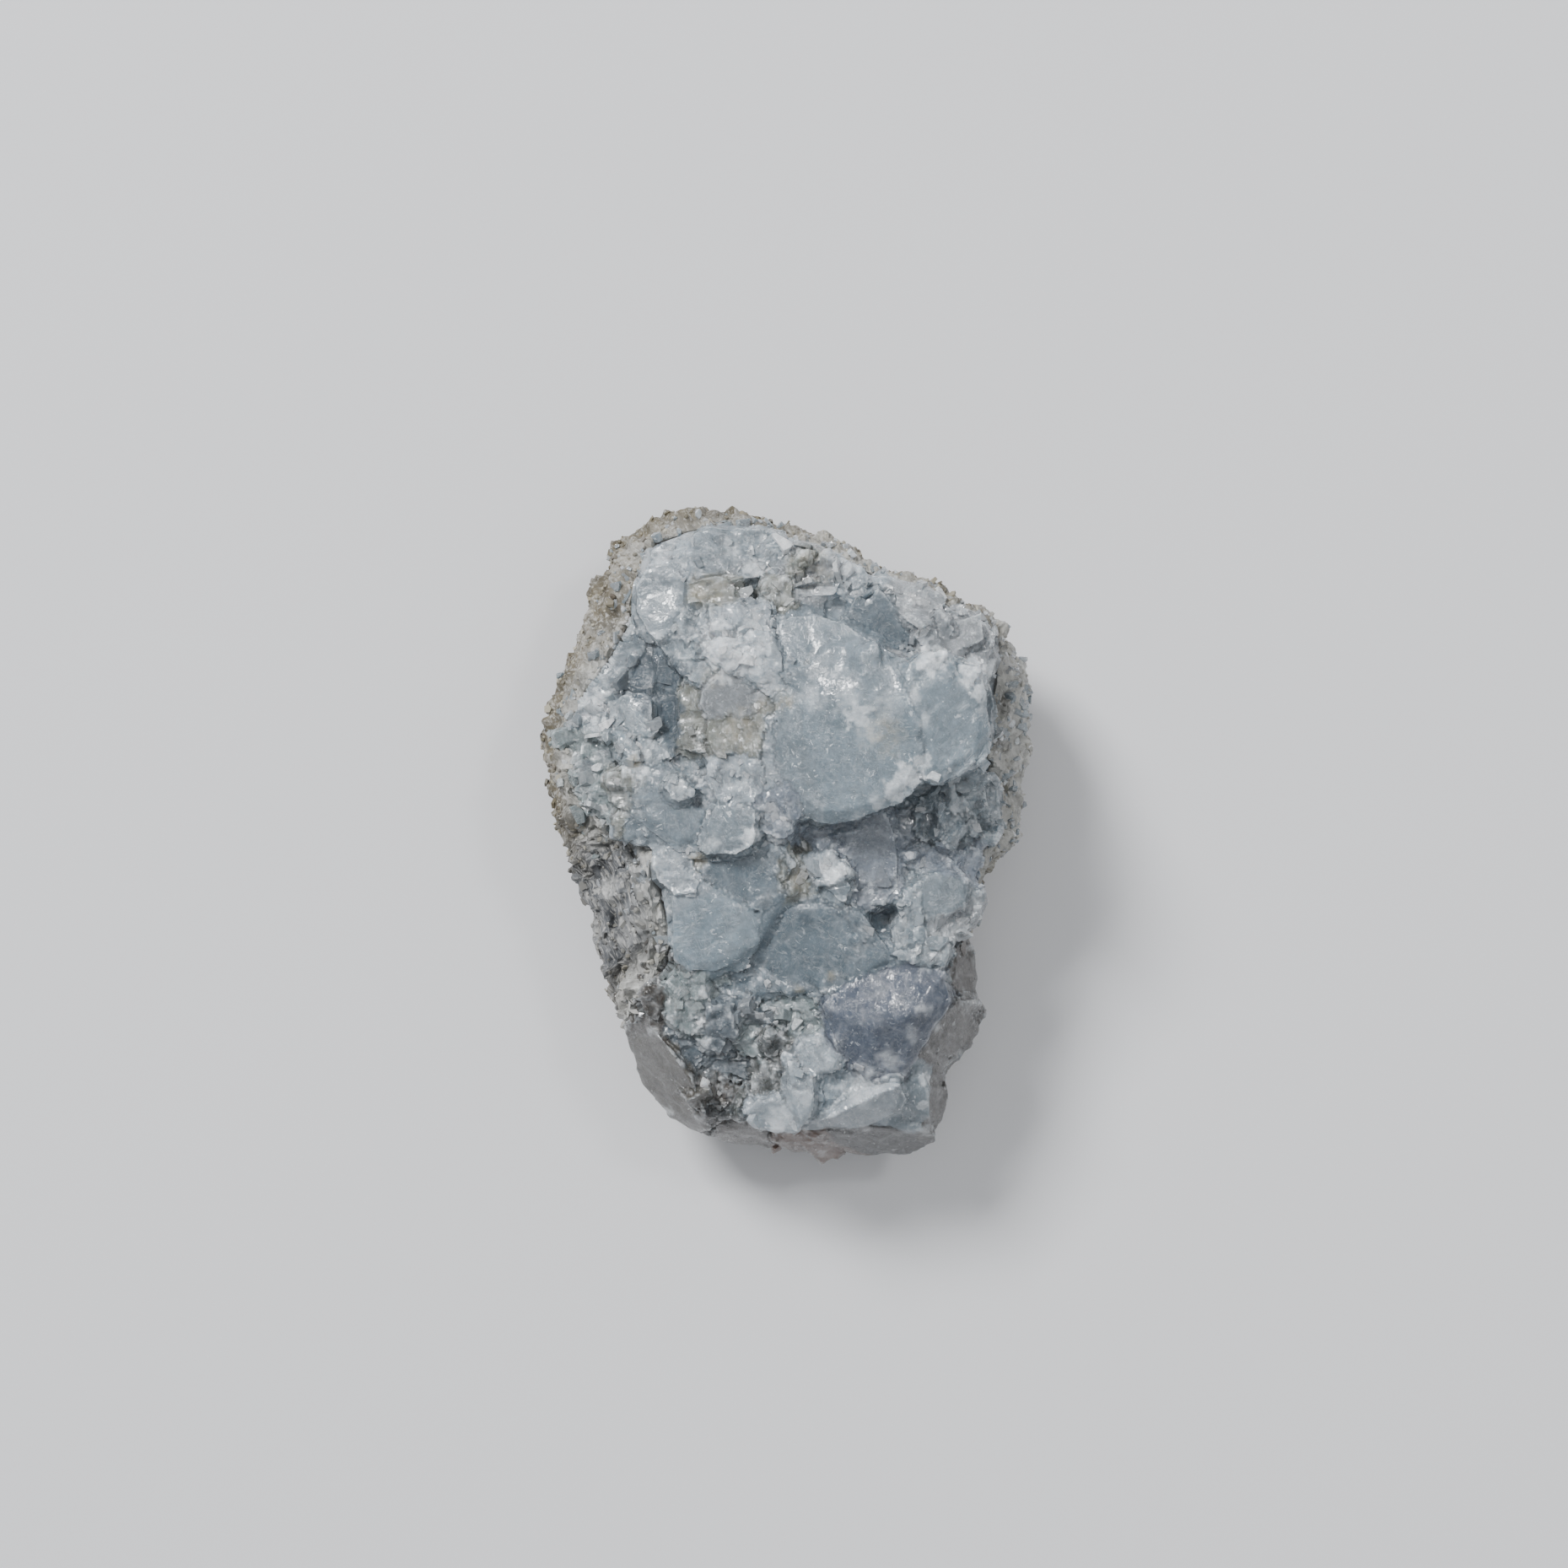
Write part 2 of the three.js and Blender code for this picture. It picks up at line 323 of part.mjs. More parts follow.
// Broken faces that hang over the rind, as their corners [x, y, z]. Their feet are drawn in and down.
const HANGING_FACES = {
  brownShard: [
    [10.0, -7.3, 9.8], [10.6, -6.2, 9.6], [11.1, -5.8, 8.9], [11.5, -6.9, 8.2], [11.5, -8.0, 8.0],
    [11.85, -8.7, 7.2], [11.5, -9.9, 7.8], [10.0, -9.9, 10.0], [9.4, -8.6, 10.4],
  ],
  longShard: [
    [10.1, -10.0, 11.2], [12.1, -10.1, 8.2], [12.3, -11.0, 7.4], [12.0, -12.0, 7.0],
    [11.0, -13.0, 7.4], [10.8, -13.8, 7.2], [10.1, -14.4, 7.6], [8.7, -14.4, 9.6],
    [7.5, -14.9, 10.6], [7.7, -13.8, 11.2], [8.3, -12.2, 11.7], [9.1, -11.1, 11.8],
  ],
  greyPost: [
    [8.5, -14.3, 10.2], [9.9, -14.5, 8.2], [10.0, -15.8, 7.4], [9.6, -17.6, 6.6], [9.0, -17.9, 7.2],
    [8.6, -16.0, 9.4],
  ],
  palePost: [
    [7.0, -15.2, 11.2], [8.4, -14.3, 11.0], [8.6, -15.8, 10.4], [8.7, -17.2, 9.2],
    [8.9, -17.9, 8.2], [7.0, -17.3, 9.6], [6.9, -16.4, 10.6],
  ],
  brightRidge: [
    [0.8, -17.9, 9.8], [3.0, -16.8, 11.3], [5.2, -15.7, 12.1], [6.9, -15.0, 12.3], [3.4, -15.8, 10.6],
    [5.2, -14.8, 11.4], [7.3, -15.9, 11.2], [7.0, -16.6, 10.6], [5.6, -17.1, 10.2],
    [4.4, -17.9, 9.4], [2.0, -17.9, 9.4],
  ],
  darkApron: [
    [1.2, -18.3, 8.8], [2.8, -18.0, 9.2], [4.8, -17.8, 9.4], [6.0, -17.2, 9.8], [8.3, -17.9, 9.0],
    [9.3, -18.4, 7.4], [9.2, -18.9, 6.2], [8.3, -19.2, 5.6], [7.6, -19.8, 4.8], [5.0, -19.75, 4.8],
    [3.5, -19.4, 5.2], [2.0, -19.0, 6.6],
  ],
  tipShard: [
    [0.2, -18.3, 8.4], [1.2, -18.5, 8.0], [3.4, -19.3, 5.6], [3.2, -20.0, 4.8], [2.1, -20.4, 4.6],
    [1.5, -19.7, 5.4],
  ],
  footShard: [
    [-0.8, -18.8, 7.4], [0.2, -18.3, 8.2], [1.6, -18.8, 7.6], [1.6, -19.6, 5.4], [0.2, -19.5, 5.6],
  ],
  leftApron: [
    [-10.0, -11.9, 7.8], [-9.6, -11.3, 8.8], [-8.9, -10.9, 10.2], [-7.9, -12.0, 11.0],
    [-6.9, -13.2, 11.3], [-5.9, -14.5, 11.0], [-5.5, -15.9, 10.3], [-5.0, -17.0, 9.5],
    [-4.7, -18.2, 7.4], [-5.4, -18.4, 6.6], [-6.8, -17.7, 6.4], [-7.4, -17.4, 6.2],
    [-8.2, -16.1, 6.2], [-9.05, -15.3, 6.2], [-9.4, -14.0, 6.6], [-9.8, -12.6, 7.0],
  ],
  brownFoot: [
    [-4.9, -18.5, 6.4], [-3.8, -17.5, 8.2], [-2.2, -17.7, 8.6], [-0.6, -18.2, 7.4],
    [-0.7, -19.1, 5.6], [-2.4, -19.2, 5.4], [-4.0, -19.0, 5.4],
  ],
};

// Pits between the crystals: [outline, height of the floor].
const PITS = {
  underBlade: [[[6.4, 1.6], [9.6, 3.2], [9.9, 1.0], [9.0, -0.6], [6.8, -0.4]], 9.2],
  greenCrevice: [[[5.0, -4.3], [6.8, -4.0], [6.8, -6.4], [5.9, -6.9], [5.1, -5.8]], 8.6],
  sparkleHollow: [[[-5.8, -13.9], [-2.4, -13.8], [-2.2, -16.8], [-4.6, -17.4], [-5.6, -15.8]], 8.0],
  darkSlot: [[[-3.0, 15.3], [-2.4, 15.3], [-1.5, 14.3], [-1.9, 14.0], [-2.9, 14.5]], 10.4],
};

// The broad masses that the crystals stand on, given as crystals are.
const MASSES = {
  top: [
    [[-8.6, 17.4], [-5.0, 18.4], [0.0, 17.8], [4.0, 16.4], [7.6, 14.6], [7.0, 12.0], [0.0, 12.5],
      [-8.0, 12.0]], 11.9, [0.0, -0.35]],
  right: [
    [[7.4, 14.2], [11.5, 12.8], [12.4, 10.0], [11.8, 4.8], [9.0, 4.2], [7.0, 8.0]],
    12.3, [-0.25, -0.1]],
  white: [
    [[-6.5, 12.0], [-5.0, 13.5], [-1.0, 13.5], [0.0, 9.0], [-1.0, 5.5], [-5.0, 5.5], [-6.0, 9.0]],
    13.7, [0.2, 0.0]],
  blade: [
    [[-1.0, 12.0], [3.0, 12.5], [7.0, 10.5], [11.0, 9.5], [11.3, 5.0], [8.0, 4.8], [6.0, 3.4],
      [2.0, 2.5], [-1.0, 3.0]], 14.8, [0.1, 0.0]],
  left: [
    [[-12.2, 8.0], [-10.0, 10.8], [-7.0, 10.8], [-6.5, 5.5], [-11.0, 3.0], [-12.0, 4.0]],
    10.8, [0.25, 0.0]],
  leftRim: [
    [[-12.7, 4.4], [-12.6, 8.4], [-10.8, 11.2], [-9.3, 13.6], [-8.4, 13.0], [-9.4, 9.4], [-11.2, 5.0]],
    11.3, [0.1, 0.0]],
  lobe: [
    [[-10.3, 2.0], [-9.0, 4.5], [-5.0, 4.8], [-2.0, 4.5], [-1.0, 2.0], [-1.5, -0.4], [-5.0, -1.0],
      [-8.0, 0.5]], 12.8, [0.15, 0.0]],
  flat: [
    [[-7.4, -1.4], [-1.0, -0.8], [4.6, -3.8], [4.6, -6.8], [3.0, -8.8], [-2.0, -9.6], [-5.0, -8.3],
      [-7.0, -7.0]], 11.9, [0.08, 0.15]],
  mauve: [
    [[0.6, 0.8], [3.0, 0.6], [6.0, 0.8], [6.2, -3.0], [4.4, -3.8], [1.0, -3.0]], 12.1, [-0.05, 0.0]],
  crust: [
    [[7.4, -2.5], [10.6, -2.4], [10.8, -4.4], [9.5, -6.4], [7.2, -6.4]], 11.8, [-0.2, 0.0]],
  lavender: [
    [[2.8, -10.2], [4.4, -8.8], [9.0, -8.3], [9.2, -10.0], [7.6, -12.2], [6.8, -14.0], [4.8, -14.2]],
    11.6, [0.0, 0.14]],
  lower: [
    [[-8.6, -11.0], [-3.0, -10.0], [2.4, -10.0], [3.4, -13.0], [3.5, -15.5], [-0.5, -15.4],
      [-2.4, -13.6], [-6.0, -13.8], [-7.6, -12.2]], 10.0, [0.05, 0.1]],
};

// Crowds of small crystals: [x, y, spread, height of their tops, number, size].
const CROWDS = [
  [-4.0, -15.4, 1.5, 9.4, 5, 1.4],
  [-0.6, -11.3, 2.0, 11.1, 4, 1.2],
  [6.0, -5.4, 0.7, 9.6, 2, 1.2],
  [8.3, 1.4, 1.0, 10.2, 3, 1.3],
  [1.6, 16.2, 1.5, 12.9, 3, 1.4],
  [10.2, 12.4, 1.2, 13.0, 2, 1.4],
  [11.6, 0.0, 0.8, 11.2, 2, 1.2],
];

// A repeatable stream of random numbers from 0 to 1.
function randomStream(seed) {
  const multiplier = 1664525;
  const increment = 1013904223;
  const period = 2 ** 32;
  let state = seed;
  return () => {
    state = (state * multiplier + increment) % period;
    return state / period;
  };
}

// A fixed random number for each corner of a grid of unit cells.
function cellValue(...cell) {
  const mix = [127.1, 311.7, 74.7];
  const wave = Math.sin(cell.reduce((sum, value, axis) => sum + value * mix[axis], 0)) * 43758.5453;
  return wave - Math.floor(wave);
}

// Smooth bumps between -1 and 1, with a feature about every unit.
function bumps(...place) {
  const base = place.map(Math.floor);
  const ease = place.map((value, axis) => THREE.MathUtils.smoothstep(value - base[axis], 0, 1));
  let total = 0;
  for (let corner = 0; corner < 8; corner += 1) {
    const step = [corner & 1, (corner >> 1) & 1, (corner >> 2) & 1];
    const weight = step.reduce((product, one, axis) => product * (one ? ease[axis] : 1 - ease[axis]), 1);
    total += weight * cellValue(...base.map((value, axis) => value + step[axis]));
  }
  return total * 2 - 1;
}

// How far the rind stands out at a point, with the fibrous ridges of its lower left side.
function rindRelief(...place) {
  const [x, y] = place;
  const lumps = LUMPS.reduce((sum, [size, height]) => (
    sum + bumps(...place.map((value) => value / size)) * height
  ), 0);
  const wander = bumps(...place.map((value) => value / RIDGE_WANDER));
  const across = x * Math.cos(RIDGE_TURN) + y * Math.sin(RIDGE_TURN) + wander;
  const ridges = Math.sin((across / RIDGE_PITCH) * 2 * Math.PI) * RIDGE_HEIGHT;
  const left = THREE.MathUtils.smoothstep(-x, ...RIDGE_LEFT);
  const fibrous = left * THREE.MathUtils.smoothstep(-y, ...RIDGE_LOW);
  return lumps * (1 - fibrous / 2) + ridges * fibrous;
}

// How far an outline reaches from the origin in a direction.
function reach(outline, angle) {
  const direction = new THREE.Vector2(Math.cos(angle), Math.sin(angle));
  let furthest = 0;
  outline.forEach(([x0, y0], index) => {
    const [x1, y1] = outline[(index + 1) % outline.length];
    const start = new THREE.Vector2(x0, y0);
    const side = new THREE.Vector2(x1 - x0, y1 - y0);
    const cross = direction.cross(side);
    const distance = start.cross(side) / cross;
    const along = start.cross(direction) / cross;
    if (along >= 0 && along <= 1) furthest = Math.max(furthest, distance);
  });
  return furthest;
}

// The crest's height in a direction.
function crestHeight(angle) {
  const degrees = THREE.MathUtils.euclideanModulo(THREE.MathUtils.radToDeg(angle), 360);
  const next = Math.max(1, CREST_HEIGHTS.findIndex(([stop]) => stop >= degrees));
  const [stop0, height0] = CREST_HEIGHTS[next - 1];
  const [stop1, height1] = CREST_HEIGHTS[next];
  return THREE.MathUtils.mapLinear(degrees, stop0, stop1, height0, height1);
}

// The rind's profile in one direction, from the middle of the cut around the outside to the middle of
// the hollow: [distance, height, how much the lumps show, which way the rind grows: [out, up]].
function rindProfile(angle) {
  const outer = reach(RIND_OUTLINE, angle);
  const inner = Math.min(reach(CREST_OUTLINE, angle), outer - CREST_WALL);
  const crest = crestHeight(angle);
  const shoulder = Math.min(SHOULDER_Z, crest - SHOULDER_DROP);
  const widest = Math.min(WIDEST_Z, shoulder - WIDEST_DROP);
  return [
    [0, 0, 0, [0, -1]],
    ...FLANK.map(([share, rise, ...rest]) => [outer * share, widest * rise, ...rest]),
    ...SLOPE.map(([share, rise, ...rest]) => [
      THREE.MathUtils.lerp(outer, inner, share), THREE.MathUtils.lerp(shoulder, crest, rise), ...rest,
    ]),
    [inner - HOLLOW_STEP_IN, Math.max(crest - HOLLOW_STEP_DOWN, HOLLOW_FLOOR), 0, [-1, 1]],
    [inner * HOLLOW_SHARE, HOLLOW_FLOOR, 0, [-0.5, 1]],
    [0, HOLLOW_FLOOR, 0, [0, 1]],
  ];
}

// A closed shape as a solid that can be joined and cut.
function toSolid(geometry) {
  const bare = new THREE.BufferGeometry();
  bare.setAttribute('position', geometry.getAttribute('position').clone());
  bare.setIndex(geometry.getIndex());
  const merged = mergeVertices(bare, WELD);
  return new wasm.Manifold(new wasm.Mesh({
    numProp: 3,
    vertProperties: new Float32Array(merged.getAttribute('position').array),
    triVerts: new Uint32Array(merged.getIndex().array),
  }));
}

// The smallest closed block with flat faces around some points.
function block(points) {
  return toSolid(new ConvexGeometry(points));
}

// The triangles of a mesh's largest shell, without sealed voids and loose crumbs.
function largestShell({ vertProperties, triVerts }) {
  const link = Array.from({ length: vertProperties.length / 3 }, (_, vertex) => vertex);
  const rootOf = (vertex) => {
    let root = vertex;
    while (link[root] !== root) root = link[root];
    link[vertex] = root;
    return root;
  };
  const triangles = [];
  for (let first = 0; first < triVerts.length; first += 3) {
    const triangle = [...triVerts.subarray(first, first + 3)];
    link[rootOf(triangle[0])] = rootOf(triangle[1]);
    link[rootOf(triangle[1])] = rootOf(triangle[2]);
    triangles.push(triangle);
  }
  const shells = Map.groupBy(triangles, ([vertex]) => rootOf(vertex));
  return [...shells.values()].sort((one, other) => other.length - one.length)[0].flat();
}

// A solid as a named mesh.
function toMesh(solid, name, material) {
  const mesh3d = solid.getMesh();
  const geometry = new THREE.BufferGeometry();
  geometry.setAttribute('position', new THREE.BufferAttribute(mesh3d.vertProperties, 3));
  geometry.setIndex(largestShell(mesh3d));
  geometry.computeVertexNormals();
  const mesh = new THREE.Mesh(geometry, material);
  mesh.name = name;
  return mesh;
}

// The rind, turned like a bowl and then pushed out to its own outline, crest and lumps.
function rindGeometry(grow) {
  const rings = rindProfile(0).length;
  const turned = Array.from({ length: rings }, (_, ring) => (
    new THREE.Vector2(ring === 0 || ring === rings - 1 ? 0 : 1, ring)
  ));
  const geometry = new THREE.LatheGeometry(turned, STATIONS);
  const position = geometry.getAttribute('position');
  for (let station = 0; station <= STATIONS; station += 1) {
    const angle = ((station % STATIONS) / STATIONS) * 2 * Math.PI;
    rindProfile(angle).forEach(([distance, height, lumpShare, [out, up]], ring) => {
      const high = ring > WIDEST_RING;
      const along = new THREE.Vector2(Math.cos(angle), Math.sin(angle));
      const { x, y } = along.clone().multiplyScalar(distance);
      const lump = rindRelief(x, y, height) * lumpShare;
      along.multiplyScalar(distance + lump * (high ? LUMP_OUT_ABOVE : LUMP_OUT_BELOW) + out * grow);
      const level = height + (high ? lump : 0) + up * grow;
      position.setXYZ(station * rings + ring, along.x, along.y, level);
    });
  }
  return geometry;
}

// The middle of an outline.
function middleOf(outline) {
  const sum = outline.reduce(([x, y], [px, py]) => [x + px, y + py], [0, 0]);
  return sum.map((value) => value / outline.length);
}

// One crystal: a sloping flat top with a bevel around it, on a root that spreads downwards and has half
// as many corners, so that its sides are slanted facets.
function crystal(outline, height, [riseX, riseY], options = {}) {
  const { depth = ROOT_DEPTH, spread = ROOT_SPREAD, bevel = 0, peaks = [] } = options;
  const [middleX, middleY] = middleOf(outline);
  const breadth = Math.min(...outline.map(([x, y]) => Math.hypot(x - middleX, y - middleY)));
  const ring = (scale, drop) => outline.map(([x, y]) => {
    const ringX = middleX + (x - middleX) * scale;
    const ringY = middleY + (y - middleY) * scale;
    const plane = height + riseX * (ringX - middleX) + riseY * (ringY - middleY);
    return new THREE.Vector3(ringX, ringY, plane - drop);
  });
  const top = bevel > 0 ? ring(1 - Math.min(BEVEL_LIMIT, bevel / breadth), 0) : [];
  const rim = ring(1, bevel * BEVEL_DROP);
  const root = ring(spread, depth).filter((_, index) => outline.length < 6 || index % 2 === 0);
  const tips = peaks.map((peak) => new THREE.Vector3(...peak));
  return block([...top, ...rim, ...root, ...tips]);
}

// A broken face that hangs over the rind: its corners, and a foot that is drawn in towards the middle.
function hangingFace(corners) {
  const points = corners.map((corner) => new THREE.Vector3(...corner));
  const feet = corners.map(([x, y, z]) => {
    const inward = 1 - FOOT_INSET / Math.hypot(x, y);
    return new THREE.Vector3(x * inward, y * inward, Math.min(FOOT_Z, z));
  });
  return block([...points, ...feet]);
}

// One small crystal: a leaning, slanted block.
function smallCrystal(random, x, y, top, size) {
  const halfX = size * THREE.MathUtils.lerp(...SMALL_HALF, random());
  const halfY = size * THREE.MathUtils.lerp(...SMALL_HALF, random());
  const lean = () => (random() * 2 - 1) * SMALL_LEAN;
  const turn = new THREE.Euler(lean(), lean(), random() * Math.PI);
  const corners = [];
  for (let corner = 0; corner < 8; corner += 1) {
    const right = corner & 1 ? 1 : -1;
    const back = corner & 2 ? 1 : -1;
    const end = corner & 4 ? 0 : -SMALL_LENGTH * size;
    corners.push(new THREE.Vector3(
      halfX * right + halfY * SMALL_SKEW * back,
      halfY * back,
      end + SMALL_SLANT * size * right,
    ));
  }
  const middle = new THREE.Vector3(x, y, top);
  return block(corners.map((corner) => corner.applyEuler(turn).add(middle)));
}

// A crowd of small crystals, scattered evenly over a disc.
function crowd([x, y, spread, top, count, size], seed) {
  const random = randomStream(seed);
  const golden = Math.PI * (3 - Math.sqrt(5));
  return Array.from({ length: count }, (_, index) => {
    const distance = spread * Math.sqrt((index + 0.5) / count);
    const angle = index * golden + random();
    return smallCrystal(
      random,
      x + distance * Math.cos(angle),
      y + distance * Math.sin(angle),
      top + (random() - 0.5) * size * 0.7,
      size * (0.75 + 0.5 * random()),
    );
  });
}

// The massive celestite under the crystals: a low dome that fills the rind's hollow, less the pits that
// open between the crystals.
function core() {
  const around = CREST_OUTLINE.filter((_, index) => index % CORE_STEP === 0);
  const ring = (share, heightAt) => around.map(([x, y]) => (
    new THREE.Vector3(x * share, y * share, heightAt(Math.hypot(x, y) * share))
  ));
  const dome = CORE_RINGS.flatMap((share) => ring(share, (distance) => CORE_TOP - CORE_FALL * distance ** 2));
  const foot = ring(CORE_FOOT, () => HOLLOW_FLOOR);
  return Object.values(PITS).reduce((solid, [outline, floor]) => {
    const [middleX, middleY] = middleOf(outline);
    const corners = outline.flatMap(([x, y]) => [
      new THREE.Vector3(x, y, CORE_TOP + 1),
      new THREE.Vector3(
        THREE.MathUtils.lerp(middleX, x, PIT_TAPER), THREE.MathUtils.lerp(middleY, y, PIT_TAPER), floor,
      ),
    ]);
    return solid.subtract(block(corners));
  }, block([...dome, ...foot]));
}

// All crystals in one solid, cut clear of the rind.
function crystalMass() {
  const groups = [MASSES, UPPER_LEFT, CENTRE, LEFT_SIDE, RIGHT_SIDE, LOWER];
  const named = groups.flatMap((group) => Object.values(group).map((entry) => crystal(...entry)));
  const hanging = Object.values(HANGING_FACES).map(hangingFace);
  const small = CROWDS.flatMap((entry, index) => crowd(entry, index + 1));
  const joined = [...named, ...hanging, ...small].reduce((mass, one) => mass.add(one), core());
  return joined.subtract(toSolid(rindGeometry(SEAM_GAP)));
}

const rindMaterial = new THREE.MeshStandardMaterial({ color: 0x9d9a8f, roughness: 0.9, metalness: 0 });
const crystalMaterial = new THREE.MeshStandardMaterial({ color: 0x8b989e, roughness: 0.3, metalness: 0 });

const cluster = new THREE.Group();
cluster.name = 'celestite_crystal_cluster';
cluster.add(toMesh(toSolid(rindGeometry(0)), 'matrix_rind', rindMaterial));
cluster.add(toMesh(crystalMass(), 'celestite_crystals', crystalMaterial));

export default cluster;
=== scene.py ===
"""A celestite crystal cluster: a loose piece of geode lining that rests on its rock rind.

Everything is shaped in millimetres, in the part's own frame, and turned to metres last. +Z is up, with
the crystals facing up, and +Y is the long way.
"""

import itertools
import math
import random

import bmesh
import bpy
import numpy as np
from mathutils import Euler, Matrix, Vector, noise
from mathutils.bvhtree import BVHTree
from mathutils.kdtree import KDTree


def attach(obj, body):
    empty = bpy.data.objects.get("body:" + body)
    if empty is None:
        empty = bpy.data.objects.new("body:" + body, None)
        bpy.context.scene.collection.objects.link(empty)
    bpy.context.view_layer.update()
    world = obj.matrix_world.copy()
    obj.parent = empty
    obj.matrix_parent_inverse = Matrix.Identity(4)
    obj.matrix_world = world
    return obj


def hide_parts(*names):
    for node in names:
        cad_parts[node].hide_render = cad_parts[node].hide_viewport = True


MM = 0.001                      # metres in a millimetre
WELD = 0.0005                   # points nearer than this are one, in mm
NOISE_SEED = 3                  # without one, noise vectors start from the clock

# Fineness of the meshes, as the length of an edge in mm
CRYSTAL_EDGE = 0.155
RIND_EDGE = 0.19
HIDDEN_SHARE = 0.08             # how much of the faces in the grown contact is kept
STEP_WIDTH = 0.34               # of the steps between the plates of a broken face
CLEFT = 0.55                    # clefts narrower than about twice this are grown shut

# How the solids' parts meet
VALLEY = math.radians(4)        # a fold inwards by more than this parts two crystals
CONTACT = 0.6                   # a face this near the other solid, and facing it, is hidden
CONTACT_CLOSE = 0.25            # the grown contact closes by this much

# Colours as they show under plain light, from 0 to 255
TINTS = {
    "milky": (154, 166, 175),
    "pale": (128, 142, 151),
    "blue": (126, 141, 151),
    "blade": (129, 146, 157),
    "deep": (106, 122, 133),
    "slate": (84, 97, 107),
    "mauve": (121, 132, 145),
    "lavender": (88, 98, 115),
    "grey": (145, 151, 156),
    "sandy": (127, 130, 122),
    "green": (122, 136, 138),
    "olive": (72, 76, 74),
    # The clear shards' warm brown and rosy cast is in part painted: the colour of a warm surface behind them, seen
    # through them.
    "apron": (88, 84, 75),
    "smoky": (80, 76, 71),
    "brown": (76, 70, 63),
    "rosy": (126, 96, 78),
    "shadow": (46, 47, 48),
}
CLEAR_TINTS = {"apron", "smoky", "brown", "rosy", "shadow"}      # the glassy shards; the rest is cloudy
TINT_RUN = 0.4                  # how far the tints run into each other, in mm
TINT_SAMPLES = 3
SIDE_TINT = (92, 95, 96)
SIDE_SHARE = 0.55               # how far the clear shards' sides take the tint of the rest
RIND_TINT = (98, 91, 75)
FIBRE_TINT = (86, 89, 93)
RIM_TINT = (170, 171, 168)      # the rind at its right, and near the crystals
GRAIN_TONES = {                 # the tones of the rind's grains, and how common each is
    (178, 173, 156): 8, (148, 141, 122): 8, (118, 112, 96): 7, (92, 86, 68): 5, (66, 56, 46): 2,
}

# The small bits on the surface: how many spots are tried
FLAKE_TRIES = 6000
BIT_TRIES = 5000
RIND_FLAKE_TRIES = 7000
GRAIN_TRIES = 12000

# Where the crystals of each tint show from above
TINT_PLACES = {
    "milky": [(-3.0, 11.2), (-2.6, 13.4), (4.0, 16.2), (-3.0, 3.8), (2.6, -1.8), (-7.2, 17.3), (-6.9, -2.2),
              (5.2, -16.4), (4.8, -15.2), (1.4, -13.2), (1.0, -15.8), (-0.8, -17.2)],
    "pale": [(-7.8, 14.4), (-4.6, 17.6), (-5.8, 13.1), (-6.2, 10.9), (-3.4, 0.6), (-11.3, 9.2), (-9.7, 7.6),
             (-9.9, 5.8), (-6.7, 3.0), (9.5, -3.4), (3.1, -3.2), (-0.6, 4.7), (11.4, 2.2), (7.9, -16.2),
             (7.6, -5.0), (-1.8, 17.4)],
    "blue": [(2.5, 11.8), (-7.0, 1.2), (10.0, 1.0), (2.6, -15.4)],
    "blade": [(3.5, 5.5), (9.8, 7.5), (-4.6, -5.6)],
    "deep": [(0.8, -6.8), (5.8, 13.0), (-2.5, -2.3)],
    "slate": [(-9.0, 10.3), (-7.3, 10.0), (-7.3, 7.2), (-8.6, 8.4), (-6.6, -13.0), (-4.2, -11.2), (5.9, -5.2)],
    "mauve": [(5.2, -1.0), (-0.3, 1.5), (10.0, -1.3)],
    "lavender": [(6.3, -11.0), (5.2, -9.4), (8.3, -9.3)],
    "grey": [(10.8, 12.2), (7.6, 14.2), (-3.8, 8.8), (10.2, -5.4), (1.2, 16.4)],
    "sandy": [(-4.8, 15.0), (-0.5, 15.0), (-5.8, 7.2), (-3.0, 6.3), (0.6, -2.3), (-10.1, 3.0)],
    "green": [(-0.6, -11.4), (-6.2, -10.8), (-12.2, 4.2)],
    "olive": [(-1.2, -14.4)],
    "apron": [(-7.4, -14.6)],
    "smoky": [(10.2, -12.0), (9.3, -16.0)],
    "brown": [(10.8, -8.0), (-2.8, -18.5), (-8.3, -10.0)],
    "rosy": [(2.4, -19.7), (0.6, -19.0)],
    "shadow": [(5.0, -18.7)],
}

# The crusts of small broken crystals, seen from above: [x, y, radius]
CRUSTS = [
    (12.2, 1.8, 2.2), (10.2, -0.4, 1.3), (10.4, -5.6, 1.6), (7.3, -5.2, 1.0), (8.6, -7.0, 1.0),
    (-11.7, 8.2, 1.6), (-10.6, 5.6, 1.4), (-12.0, 4.2, 1.0), (-11.2, 2.4, 1.3), (-8.2, 5.4, 1.3),
    (-1.0, 16.8, 2.8), (3.9, 16.0, 1.4), (7.6, 14.4, 1.4), (-5.4, 13.2, 1.3),
    (-3.0, 12.0, 1.5), (-7.6, 17.0, 1.1), (-4.0, -15.4, 1.3), (-0.6, -11.4, 1.4), (-6.0, -10.4, 1.3),
    (-1.4, -14.6, 0.9), (3.0, -1.0, 1.0), (-4.2, 3.8, 1.1), (-0.4, 1.6, 1.0),
    (11.0, 9.9, 0.9), (8.9, 11.1, 0.8), (12.0, 12.4, 1.2), (8.3, 1.2, 1.4),
]

